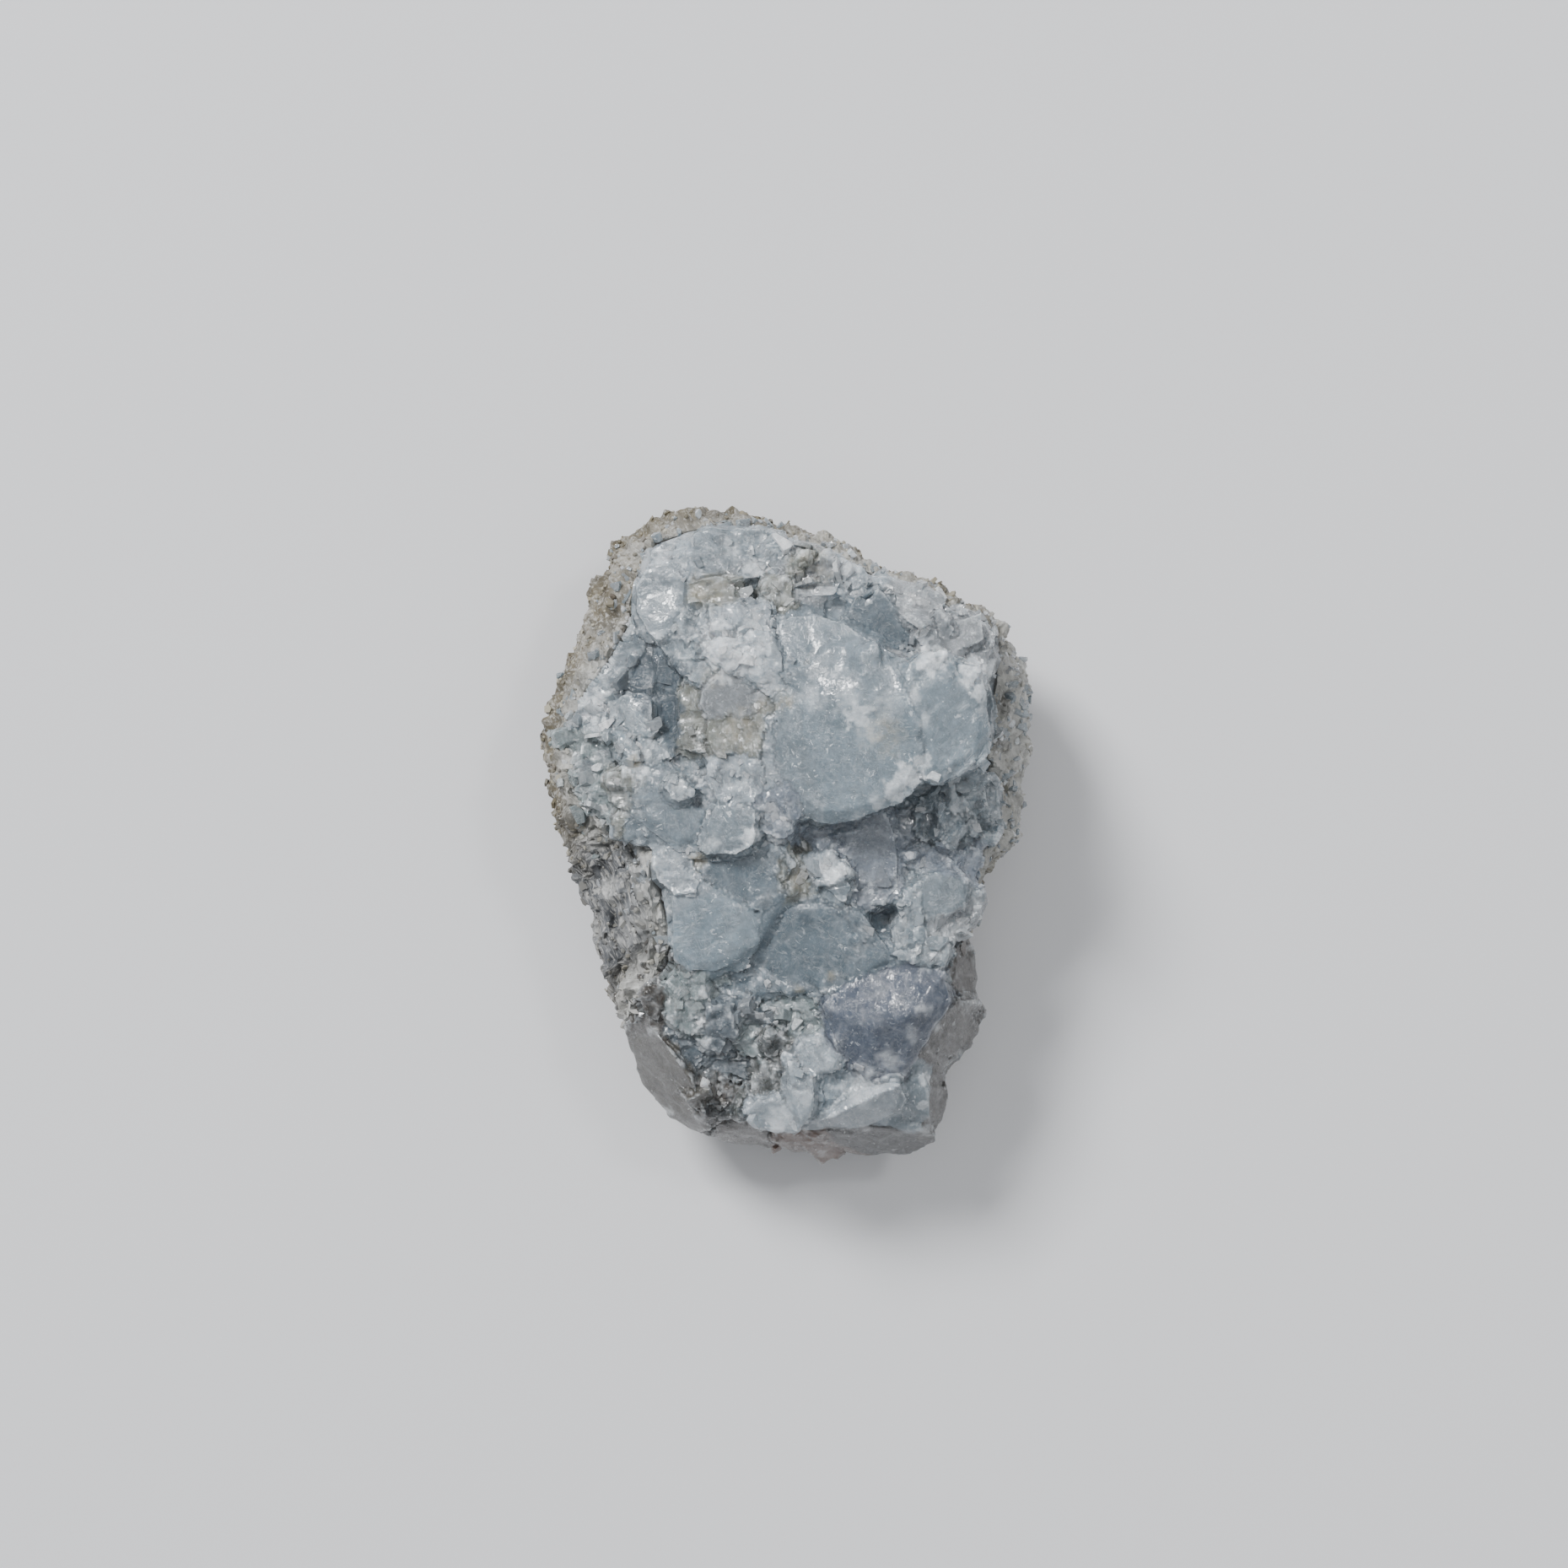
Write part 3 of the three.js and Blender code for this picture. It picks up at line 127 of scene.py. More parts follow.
# Where crystals have grown in between others: [x, y, half width, half length, height of the top]. A height
# of 0 takes that of the crystals around it.
FILLINGS = [
    (-0.9, 7.4, 1.5, 1.6, 0), (-0.9, 5.0, 1.4, 1.7, 0), (-0.2, 2.9, 1.3, 1.2, 0), (2.2, 10.4, 2.0, 1.1, 0),
    (5.2, 9.8, 2.2, 0.9, 0), (-0.9, 9.7, 1.1, 1.0, 0), (-11.4, 3.0, 0.8, 1.7, 0), (-9.6, 0.8, 1.4, 0.9, 0),
    (8.3, 1.2, 2.2, 1.6, 12.2), (5.9, -5.3, 0.9, 1.5, 11.0), (-4.2, -15.4, 1.8, 1.8, 9.3),
    (-2.3, 14.7, 0.9, 0.7, 11.6), (-1.7, -4.6, 1.0, 2.4, 0), (-2.4, -7.4, 1.0, 1.2, 0), (-5.8, -2.0, 1.2, 0.7, 0),
    (-12.6, 6.6, 0.7, 2.0, 0), (-8.2, -3.4, 0.7, 1.6, 0), (-12.2, 3.8, 0.7, 1.1, 0),
]

# Where crystals run into each other with no edge, seen from above: [x, y, radius, rounds of smoothing]
BLENDED = [
    (3.6, 9.9, 2.3, 40), (0.8, 9.2, 1.8, 60), (6.4, 9.4, 1.5, 30), (-0.9, 7.2, 2.0, 60), (-0.8, 4.8, 2.0, 60),
    (-0.2, 2.6, 1.4, 40), (-1.0, -3.6, 1.1, 25), (-1.9, -5.2, 1.3, 25), (-2.5, -7.2, 1.2, 25),
    (1.0, 0.2, 1.0, 20), (4.0, -9.8, 1.2, 10), (6.8, -10.2, 2.6, 12),
]

# Where the celestite is cleaved smooth, seen from above: [x, y, radius]
CLEAVED = [
    (3.6, 5.6, 4.4), (2.6, 12.0, 3.0), (9.8, 7.4, 2.4), (-4.6, -5.6, 2.6), (9.4, -3.4, 1.3), (6.4, -10.4, 3.4),
    (0.6, -6.0, 2.6), (-2.8, -2.4, 1.6), (-7.9, 14.3, 1.3), (-3.6, 0.8, 1.2), (5.6, -0.6, 1.5), (5.9, 13.2, 1.6),
    (-7.0, 1.2, 1.5), (10.8, -8.3, 1.0), (10.2, -12.0, 1.4), (8.2, -14.0, 1.0), (9.4, -16.2, 0.9),
    (7.8, -16.2, 1.0), (5.0, -16.4, 1.6), (3.0, -17.2, 1.0), (5.0, -18.8, 2.2), (7.8, -18.8, 1.5),
    (-7.4, -14.8, 2.0), (-8.9, -12.8, 1.3), (-6.0, -16.8, 1.4), (2.4, -19.7, 0.9), (0.6, -19.0, 0.9),
    (-2.8, -18.5, 1.3), (10.8, 12.2, 1.3), (-3.8, 8.8, 1.2), (-8.4, 10.2, 1.2), (-7.3, 8.0, 1.0), (-7.1, 6.4, 0.8), (0.9, -16.6, 1.0), (-0.8, -17.2, 1.0),
]

# Marks on the celestite, seen from above: [x, y, radius, strength]
# The white marks are whitish scuffs and broken edges, and in part painted highlights: where facets catch the light, and
# on the blade's thin rim.
WHITE_SCUFFS_AND_HIGHLIGHTS = [
    (-7.7, 17.0, 0.6, 0.7), (-7.8, 16.4, 0.5, 0.7), (-3.4, 17.6, 0.6, 0.6), (-2.0, 16.5, 0.6, 0.8),
    (-11.8, 8.2, 0.9, 1.0), (-11.7, 7.0, 0.6, 0.8), (-8.0, 12.2, 0.6, 0.7), (-4.3, 12.2, 1.1, 0.9),
    (-3.6, 11.4, 1.3, 1.0), (-2.4, 10.6, 1.1, 0.9), (-1.5, 11.6, 0.9, 0.7), (-4.0, 10.2, 0.8, 0.8),
    (-1.3, 9.3, 0.7, 0.8), (-6.2, 12.4, 0.6, 0.6), (-13.2, 4.8, 0.6, 0.9), (-12.9, 2.8, 0.5, 0.7), (3.8, 16.8, 0.9, 0.8), (2.5, 15.0, 0.8, 0.7),
    (-9.3, 4.2, 0.7, 0.9), (-6.6, 3.3, 0.6, 0.7), (-2.3, 0.2, 0.6, 1.0), (-0.8, 0.0, 0.4, 0.8),
    (8.8, 11.0, 1.0, 1.0), (11.2, 10.1, 0.9, 1.0), (11.6, 9.0, 0.6, 0.9), (11.7, 7.8, 0.4, 0.7), (7.5, 8.7, 0.6, 0.7),
    (8.2, 7.2, 0.5, 0.6), (4.2, 7.5, 0.8, 0.8), (5.0, 6.5, 0.9, 0.5), (7.6, 3.4, 0.5, 0.8),
    (8.3, -10.4, 0.5, 0.7), (7.6, -12.0, 0.7, 0.4), (9.8, -8.5, 0.5, 0.6), (-5.0, -9.4, 0.4, 0.8),
    (-5.3, -11.2, 0.5, 0.8), (7.9, -3.3, 0.4, 0.7), (2.7, -2.0, 0.7, 0.9), (6.2, -13.6, 1.0, 0.5),
    (9.1, -11.5, 0.4, 0.6), (10.3, 1.8, 0.6, 0.7), (-1.2, 1.9, 0.6, 0.6), (-4.6, -0.2, 0.6, 0.6),
    (1.5, 8.6, 1.0, 0.45), (3.6, 8.5, 1.0, 0.55), (6.2, 8.1, 1.0, 0.5), (4.2, 1.5, 0.5, 0.45),
    (5.4, 2.2, 0.65, 0.6), (6.5, 3.0, 0.8, 0.75), (7.4, 3.9, 0.8, 0.9), (8.1, 4.7, 0.5, 0.8), (9.8, -8.5, 0.7, 0.5),
    (4.6, -15.2, 1.4, 0.7), (-0.6, -17.0, 1.0, 0.6), (1.0, -15.6, 1.0, 0.5), (-5.0, -12.6, 0.5, 0.9),
    (-4.3, -14.8, 1.0, 0.5), (7.2, -4.9, 0.8, 0.5), (10.6, 3.0, 0.8, 0.5),
    (8.4, -14.8, 0.4, 0.8), (8.3, -16.4, 0.35, 0.8), (8.6, -18.0, 0.5, 0.7), (4.9, -17.9, 0.4, 0.5),
    (-7.3, -17.0, 0.4, 0.7), (-5.4, -17.2, 0.35, 0.6), (-8.4, -11.8, 0.4, 0.6), (11.6, -10.0, 0.5, 0.6),
    (10.6, -13.4, 0.4, 0.5), (2.2, -19.6, 0.4, 0.5), (-0.6, -17.7, 0.5, 0.8),
]
STAIN_MARKS = [
    (-5.0, 15.0, 1.2, 0.7), (-2.9, 6.6, 1.2, 0.6), (-0.3, 8.4, 0.7, 0.7), (-5.4, -1.3, 0.5, 0.8),
    (0.7, -2.4, 0.7, 0.7), (-4.6, 9.8, 0.8, 0.5), (5.8, 6.2, 1.3, 0.4), (-9.4, 4.6, 0.4, 0.8),
    (0.7, -9.1, 0.4, 0.6), (2.6, -8.4, 0.4, 0.6), (-1.5, 8.0, 0.7, 0.6), (1.6, 16.6, 1.4, 0.5),
]
# The dark marks are dark spots, and in part painted shade: in recesses, under the blade's overhang, beside the right
# lobe and on the lower edge.
DARK_SPOTS_AND_SHADE = [
    (1.2, 10.7, 0.2, 0.8), (0.6, -0.6, 0.35, 0.8), (8.2, 1.4, 1.3, 0.4), (-4.0, -17.0, 0.9, 0.8),
    (-11.0, 6.1, 0.5, 0.4), (-6.8, 5.0, 0.4, 0.4), (-5.4, 2.2, 0.4, 0.4), (3.0, -18.3, 0.6, 0.6),
    (12.4, 8.6, 0.5, 0.6), (12.6, 6.2, 0.6, 0.6),
]

# Slate-dark crystals, and painted shade where the marks lie under the blade's overhang and beside the right lobe.
SLATE_AND_SHADE_MARKS = [
    (-2.3, 14.7, 0.8, 0.6), (-8.7, 10.5, 1.1, 0.9), (-7.0, 10.2, 0.8, 0.9), (-8.0, 8.9, 0.8, 0.7), (-7.2, 8.0, 0.8, 0.9), (-7.1, 6.6, 0.7, 0.9),
    (-7.0, 5.6, 0.4, 0.8), (-6.7, 4.7, 0.35, 0.9), (-11.1, 5.2, 0.6, 0.7), (-12.4, 4.3, 0.5, 0.8), (-12.3, 3.5, 0.5, 0.7),
    (-10.3, 3.2, 0.7, 0.4), (-10.3, 2.3, 0.6, 0.4), (-5.3, 2.3, 0.5, 0.6), (-4.8, 1.7, 0.5, 0.5), (-1.5, 1.5, 0.3, 0.7),
    (-1.5, 0.8, 0.3, 0.7), (5.6, 13.2, 0.7, 0.5), (6.4, 12.5, 0.6, 0.5), (-4.4, -11.8, 0.7, 0.6), (-6.2, -13.2, 0.8, 0.6),
    (-5.2, -14.2, 0.7, 0.6), (8.6, 0.6, 1.2, 0.6), (7.0, 1.0, 0.9, 0.5), (5.8, -4.4, 0.5, 0.3), (6.2, -5.8, 0.5, 0.4),
    (12.4, 7.6, 0.5, 0.6), (-4.4, -16.8, 0.9, 0.5), (4.6, -3.0, 0.4, 0.5), (1.0, -5.0, 0.5, 0.5),
]

# Marks on the rind
# The dark rind marks are dark spots, and at the right painted shade beside the crystals' right lobe.
RIND_DARK_AND_SHADE = [
    (-9.7, 12.9, 0.45, 0.9), (-12.9, 6.1, 0.35, 0.9), (-0.3, 19.1, 0.25, 0.8), (2.5, 18.0, 0.25, 0.8),
    (11.7, 14.2, 0.25, 0.8), (12.1, 13.8, 0.25, 0.8), (8.1, 14.6, 0.3, 1.0), (13.1, 8.2, 0.6, 0.8),
    (12.9, 5.8, 0.7, 0.8), (-12.4, -2.0, 0.5, 0.7), (-10.7, -0.5, 0.5, 0.7), (-7.1, -8.4, 0.5, 0.9),
    (-9.3, 0.2, 0.8, 0.6), (-4.0, 19.8, 1.6, 0.4), (-11.0, 12.8, 0.8, 0.5), (13.5, 3.0, 0.7, 0.5),
]
RIND_WHITE = [
    (-13.2, 4.8, 0.7, 0.6), (-10.9, -3.2, 0.9, 0.6), (-12.5, 0.0, 0.8, 0.5), (-9.6, -6.0, 0.8, 0.5),
    (13.9, 11.0, 1.0, 0.6), (14.3, 7.0, 1.0, 0.5), (14.2, 5.2, 0.8, 0.5), (-11.6, 10.6, 1.0, 0.5),
]

FIBRE_TURN = math.radians(24)   # the fibres of the lower left lie this far from -Y towards +X
FIBRE_AREA = (-10.4, -3.8, 3.6, 6.2)   # their middle and half sizes, seen from above

noise.seed_set(NOISE_SEED)
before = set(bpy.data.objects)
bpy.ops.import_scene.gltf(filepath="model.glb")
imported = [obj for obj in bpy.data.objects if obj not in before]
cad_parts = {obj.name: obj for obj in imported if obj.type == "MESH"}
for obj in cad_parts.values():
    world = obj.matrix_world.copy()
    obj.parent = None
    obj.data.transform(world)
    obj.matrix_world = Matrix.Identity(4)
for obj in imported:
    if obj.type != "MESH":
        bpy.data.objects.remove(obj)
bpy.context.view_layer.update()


# Meshes

def solid_copy(node):
    """A merged copy of a CAD node's mesh, in millimetres."""
    solid = bmesh.new()
    solid.from_mesh(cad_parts[node].data)
    bmesh.ops.scale(solid, vec=(1 / MM,) * 3, verts=solid.verts)
    bmesh.ops.remove_doubles(solid, verts=solid.verts, dist=WELD)
    bmesh.ops.dissolve_degenerate(solid, edges=solid.edges, dist=WELD)
    return solid


def number_crystals(solid):
    """Numbers the crystals: faces that meet in a ridge are of one crystal, and a valley parts two."""
    crystal = solid.faces.layers.int.new("crystal")
    count = 0
    for seed in solid.faces:
        if seed[crystal]:
            continue
        count += 1
        seed[crystal] = count
        waiting = [seed]
        while waiting:
            for edge in waiting.pop().edges:
                if not edge.is_manifold or edge.calc_face_angle_signed() < -VALLEY:
                    continue
                for face in edge.link_faces:
                    if not face[crystal]:
                        face[crystal] = count
                        waiting.append(face)
    return count


def mark_hidden(solid, other):
    """Marks the faces that lie in the grown contact with the other solid."""
    hidden = solid.faces.layers.int.new("hidden")
    for face in solid.faces:
        middle = face.calc_center_median()
        near, normal, _, distance = other.find_nearest(middle)
        if distance < CONTACT and face.normal.dot(normal) < -0.3:
            face[hidden] = 1


def modified(solid, modifiers, weights=None):
    """The mesh with some modifiers run on it: a list of kinds, each with its settings."""
    mesh = bpy.data.meshes.new("working copy")
    solid.to_mesh(mesh)
    solid.free()
    shape = bpy.data.objects.new("working copy", mesh)
    bpy.context.scene.collection.objects.link(shape)
    if weights is not None:
        group = shape.vertex_groups.new(name="chosen")
        for index in weights:
            group.add([index], 1.0, "REPLACE")
    for kind, settings in modifiers:
        modifier = shape.modifiers.new(kind, kind)
        for name, value in settings.items():
            setattr(modifier, name, value)
    result = bmesh.new()
    result.from_object(shape, bpy.context.evaluated_depsgraph_get())
    bpy.data.objects.remove(shape)
    bpy.data.meshes.remove(mesh)
    return result


def filled(solid):
    """Adds the bodies that fill the clefts, for the remaking of the mesh to join."""
    form = BVHTree.FromBMesh(solid)
    for x, y, half_width, half_length, top in FILLINGS:
        if not top:
            around = []
            for step in range(12):
                turn = step * math.pi / 6
                spot = Vector((x + half_width * math.cos(turn), y + half_length * math.sin(turn), 60))
                place = form.ray_cast(spot, Vector((0, 0, -1)))[0]
                if place and place.z > 5:
                    around.append(place.z)
            if len(around) < 6:
                continue
            top = sorted(around)[len(around) * 2 // 3 - 1] - 0.1
        block = bmesh.new()
        bmesh.ops.create_cube(block, size=2)
        bmesh.ops.bevel(
            block, geom=[*block.verts, *block.edges], offset=0.35, affect="EDGES", segments=2, profile=0.5, material=-1
        )
        depth = 2.0
        bmesh.ops.scale(block, vec=(half_width, half_length, depth), verts=block.verts)
        turn = Euler((noise.noise(Vector((x, y, 3))) * 0.3, noise.noise(Vector((x, y, 5))) * 0.3, math.radians(20) * x))
        bmesh.ops.rotate(block, cent=(0, 0, 0), matrix=turn.to_matrix(), verts=block.verts)
        bmesh.ops.translate(block, vec=(x, y, top - depth), verts=block.verts)
        body = bpy.data.meshes.new("filling")
        block.to_mesh(body)
        block.free()
        solid.from_mesh(body)
        bpy.data.meshes.remove(body)
    return solid


def blended_shapes(solid):
    """Rounds off the borders between crystals that run into each other."""
    for x, y, radius, rounds in BLENDED:
        chosen = [vert for vert in solid.verts
                  if math.hypot(vert.co.x - x, vert.co.y - y) < radius and vert.normal.z > -0.3 and vert.co.z > 6]
        for _ in range(rounds):
            bmesh.ops.smooth_vert(solid, verts=chosen, factor=0.5, use_axis_x=True, use_axis_y=True, use_axis_z=True)
    return solid


def evened(solid, edge_length, reach=0.0):
    """Remakes a mesh with even faces. Clefts narrower than about twice the reach are grown shut."""
    even = ("REMESH", {"mode": "VOXEL", "voxel_size": edge_length})
    form = BVHTree.FromBMesh(solid)
    if reach:
        original = bpy.data.meshes.new("original")
        solid.to_mesh(original)
        push_out, push_in = (
            ("DISPLACE", {"direction": "NORMAL", "mid_level": 0.0, "strength": push}) for push in (reach, -reach)
        )
        coarse = ("REMESH", {"mode": "VOXEL", "voxel_size": edge_length * 1.3})
        solid = modified(solid, [coarse, push_out, coarse, push_in])
        solid.from_mesh(original)
        bpy.data.meshes.remove(original)
    solid = modified(solid, [even])
    for vert in solid.verts:
        near, _, _, distance = form.find_nearest(vert.co)
        if distance < edge_length * 0.8:
            vert.co = near
    return solid


def thinned(solid, other):
    """Fewer faces where the mesh lies in the grown contact with the other solid."""
    solid.verts.index_update()
    hidden = []
    for vert in solid.verts:
        _, normal, _, distance = other.find_nearest(vert.co)
        if distance < CONTACT and vert.normal.dot(normal) < -0.3:
            hidden.append(vert.index)
    share = len(hidden) / len(solid.verts)
    ratio = 1 - share * (1 - HIDDEN_SHARE)
    return modified(
        solid, [("DECIMATE", {"ratio": ratio, "vertex_group": "chosen", "vertex_group_factor": 1000.0})], hidden
    )


def in_circles(x, y, circles, soft=0.5):
    """How far a place seen from above is inside any of some circles, from 0 to 1."""
    best = 0.0
    for middle_x, middle_y, radius, *_ in circles:
        distance = math.hypot(x - middle_x, y - middle_y)
        best = max(best, min(1.0, (radius * (1 + soft) - distance) / (radius * soft * 2)))
    return max(0.0, best)


def steady(cells, salt):
    """A number from -1 to 1 for each cell of a grid: always the same for the same cell."""
    mixed = (cells[:, 0] * 73856093) ^ (cells[:, 1] * 19349663) ^ (cells[:, 2] * 83492791) ^ (salt * 6542989)
    mixed = ((mixed ^ (mixed >> 13)) * 1274126177) & 0x7FFFFFFF
    mixed = ((mixed ^ (mixed >> 15)) * 668265263) & 0x7FFFFFFF
    return (mixed % 20011) / 10005.0 - 1


def plates(points, size, salt, tilt=0.35, step=0.12):
    """Flat broken plates, each with its own slant, with steps between them.

    Gives how far the surface stands out in mm, each plate's own tone from -1 to 1, and its border from 0 to 1.
    """
    scaled = np.asarray(points) / size
    base = np.floor(scaled).astype(np.int64)
    near = np.full(len(scaled), np.inf)
    next_near = near.copy()
    height, next_height, tone = (np.zeros(len(scaled)) for _ in range(3))
    for offset in itertools.product((-1, 0, 1), repeat=3):
        cell = base + offset
        middle = cell + 0.5 + 0.42 * np.stack([steady(cell, salt + axis) for axis in range(3)], axis=1)
        slope = np.stack([steady(cell, salt + 3 + axis) for axis in range(3)], axis=1)
        away = scaled - middle
        distance = (away ** 2).sum(axis=1)
        level = (away * slope).sum(axis=1) * tilt + steady(cell, salt + 6) * step
        first = distance < near
        second = ~first & (distance < next_near)
        next_near = np.where(first, near, np.where(second, distance, next_near))
        next_height = np.where(first, height, np.where(second, level, next_height))
        near = np.where(first, distance, near)
        height = np.where(first, level, height)
        tone = np.where(first, steady(cell, salt + 7), tone)
    share = np.clip((np.sqrt(next_near) - np.sqrt(near)) * size / STEP_WIDTH, 0, 1) * 0.5
    return (height * (0.5 + share) + next_height * (0.5 - share)) * size, tone, 1 - share * 2


def open_sky(places, normals, trees, rays=14, reach=3.0):
    """How much of the space above each point is open, from 0 to 1, by rays over its half sphere. The finishes darken
    the colour where little is open: painted shade.
    """
    golden = math.pi * (3 - math.sqrt(5))
    spread = []
    for index in range(rays):
        height = 1 - (index + 0.5) / rays
        radius = math.sqrt(1 - height * height)
        spread.append(Vector((
            radius * math.cos(index * golden), radius * math.sin(index * golden), height + 0.12,
        )).normalized())
    result = np.ones(len(places))
    for index, (place, normal) in enumerate(zip(places, normals)):
        turn = normal.to_track_quat("Z", "Y")
        start = place + normal * 0.05
        closed = 0.0
        for direction in spread:
            ray = turn @ direction
            nearest = reach
            for tree in trees:
                distance = tree.ray_cast(start, ray, nearest)[3]
                if distance is not None:
                    nearest = min(nearest, distance)
            closed += 1 - nearest / reach
        result[index] = 1 - closed / rays
    return result


def linear(colour):
    """A display colour from 0 to 255 as linear light."""
    share = np.array(colour, float) / 255
    return np.where(share <= 0.04045, share / 12.92, ((share + 0.055) / 1.055) ** 2.4)


def marks(places, circles, up):
    """How strongly each point is marked, with ragged borders."""
    result = np.zeros(len(places))
    ragged = np.array([noise.noise(Vector(place) * 2.2) + noise.noise(Vector(place) * 5.0) * 0.4 for place in places])
    for x, y, radius, strength in circles:
        distance = np.hypot(places[:, 0] - x, places[:, 1] - y) / radius
        border = 0.25 if strength >= 0.75 else 0.7
        inside = np.clip((1.1 + ragged * 0.7 - distance) / border, 0, 1) * strength
        result = np.maximum(result, inside * up)
    return result


def paint(mesh, name, values):
    """Stores one number or colour per point, for the finishes to read."""
    values = np.asarray(values, np.float32)
    if values.ndim == 1:
        mesh.attributes.new(name, "FLOAT", "POINT").data.foreach_set("value", values)
    elif name == "own_place":
        mesh.attributes.new(name, "FLOAT_VECTOR", "POINT").data.foreach_set("vector", values.ravel())
    else:
        colours = np.ones((len(values), 4), np.float32)
        colours[:, :3] = values
        mesh.attributes.new(name, "FLOAT_COLOR", "POINT").data.foreach_set("color", colours.ravel())


def finished_piece(name, solid, finishes, sharp, colours=()):
    """Makes an object of a mesh in millimetres, and rides it on the part."""
    bmesh.ops.scale(solid, vec=(MM,) * 3, verts=solid.verts)
    mesh = bpy.data.meshes.new(name)
    solid.to_mesh(mesh)
    solid.free()
    mesh.shade_smooth()
    mesh.set_sharp_from_angle(angle=sharp)
    for finish in finishes:
        mesh.materials.append(finish)
    for layer, values in dict(colours).items():
        paint(mesh, layer, values)
    piece = bpy.data.objects.new(name, mesh)
    bpy.context.scene.collection.objects.link(piece)
    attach(piece, "root")
    return piece


def chip(draw, cuts):
    """A small closed broken bit, about 1 across: a block with corners split off."""
    bit = bmesh.new()
    bmesh.ops.create_cube(bit, size=0.9)
    sides = (draw.uniform(0.6, 0.9), draw.uniform(0.9, 1.3), draw.uniform(0.6, 1.1))
    bmesh.ops.scale(bit, vec=sides, verts=bit.verts)
    for _ in range(cuts):
        away = Vector((draw.gauss(0, 1), draw.gauss(0, 1), draw.gauss(0, 1))).normalized()
        bmesh.ops.bisect_plane(
            bit, geom=[*bit.verts, *bit.edges, *bit.faces], plane_co=away * draw.uniform(0.26, 0.42),
            plane_no=away, clear_outer=True,
        )
        bmesh.ops.holes_fill(bit, edges=[edge for edge in bit.edges if edge.is_boundary])
    bmesh.ops.triangulate(bit, faces=bit.faces)
    return bit


def flake(draw, cuts):
    """A thin closed flake, about 1 long, that lies flat: its edge is broken by a few upright cuts."""
    bit = bmesh.new()
    bmesh.ops.create_cube(bit, size=1)
    bmesh.ops.scale(bit, vec=(draw.uniform(0.5, 0.9), 1, draw.uniform(0.10, 0.24)), verts=bit.verts)
    for _ in range(cuts):
        turn = draw.uniform(0, 2 * math.pi)
        away = Vector((math.cos(turn), math.sin(turn), draw.uniform(-0.5, 0.5))).normalized()
        bmesh.ops.bisect_plane(
            bit, geom=[*bit.verts, *bit.edges, *bit.faces], plane_co=away * draw.uniform(0.18, 0.36),
            plane_no=away, clear_outer=True,
        )
        bmesh.ops.holes_fill(bit, edges=[edge for edge in bit.edges if edge.is_boundary])
    bmesh.ops.triangulate(bit, faces=bit.faces)
    return bit


def grain(draw):
    """A small round grain, about 1 across."""
    bit = bmesh.new()
    bmesh.ops.create_icosphere(bit, subdivisions=1, radius=0.5)
    sides = (draw.uniform(0.7, 1.1), draw.uniform(0.9, 1.3), draw.uniform(0.6, 1.0))
    bmesh.ops.scale(bit, vec=sides, verts=bit.verts)
    return bit


def scattered(shapes, places):
    """Copies small shapes to many places, as one mesh: places are (which shape, matrix)."""
    patterns = []
    for shape in shapes:
        pattern = bpy.data.meshes.new("pattern")
        shape.to_mesh(pattern)
        patterns.append(pattern)
    heap = bmesh.new()
    counts = []
    for which, matrix in places:
        pattern = patterns[which]
        pattern.transform(matrix)
        heap.from_mesh(pattern)
        pattern.transform(matrix.inverted())
        counts.append(len(pattern.vertices))
    for pattern in patterns:
        bpy.data.meshes.remove(pattern)
    return heap, counts


def spots(solid, count, draw, wanted):
    """Random spots on a mesh, more where wanted: each is (place, normal, share)."""
    faces = list(solid.faces)
    areas = [face.calc_area() for face in faces]
    found = []
    for face in draw.choices(faces, weights=areas, k=count):
        corners = [vert.co for vert in face.verts]
        shares = [draw.random() for _ in corners]
        place = sum((corner * share for corner, share in zip(corners, shares)), Vector()) / sum(shares)
        share = wanted(place, face)
        if draw.random() < share:
            found.append((place, face.normal.copy(), share))
    return found


def set_on(spot, normal, size, sink, lean, draw):
    """The matrix that sets a small shape on a surface: sunk by a share of its size, and leaning."""
    tilt = Vector((draw.gauss(0, lean), draw.gauss(0, lean), draw.gauss(0, lean)))
    axis = (normal + tilt).normalized()
    turn = axis.to_track_quat("Z", "Y").to_matrix().to_4x4() @ Matrix.Rotation(draw.uniform(0, 6.28), 4, "Z")
    return Matrix.Translation(spot + normal * size * (0.5 - sink)) @ turn @ Matrix.Diagonal((size,) * 3).to_4x4()


def laid_on(spot, normal, lattice, size, lean, draw):
    """The matrix that lays a flake on a surface, along the cleavage of the crystal that it is part of."""
    axes = [axis * (1 if axis.dot(normal) > 0 else -1) for axis in lattice.row]
    axes.sort(key=lambda axis: -axis.dot(normal))
    up = (axes[0] * lean + normal + Vector([draw.gauss(0, 0.06) for _ in range(3)])).normalized()
    across = axes[1].cross(up).normalized()
    along = up.cross(across)
    turn = Matrix((across, along, up)).transposed().to_4x4()
    middle = spot - normal * size * draw.uniform(0.02, 0.10)
    return Matrix.Translation(middle) @ turn @ Matrix.Diagonal((size,) * 3).to_4x4()


# Finishes

def node(tree, kind, values=(), **settings):
    """Adds a shader node. values maps its inputs to numbers, colours or other nodes' outputs."""
    made = tree.nodes.new("ShaderNode" + kind)
    for name, value in settings.items():
        setattr(made, name, value)
    for name, value in dict(values).items():
        if isinstance(value, bpy.types.NodeSocket):
            tree.links.new(value, made.inputs[name])
        else:
            made.inputs[name].default_value = value
    return made


def maths(tree, operation, one, other=0.0, clamp=False):
    """One sum on two numbers."""
    return node(tree, "Math", {0: one, 1: other}, operation=operation, use_clamp=clamp).outputs[0]


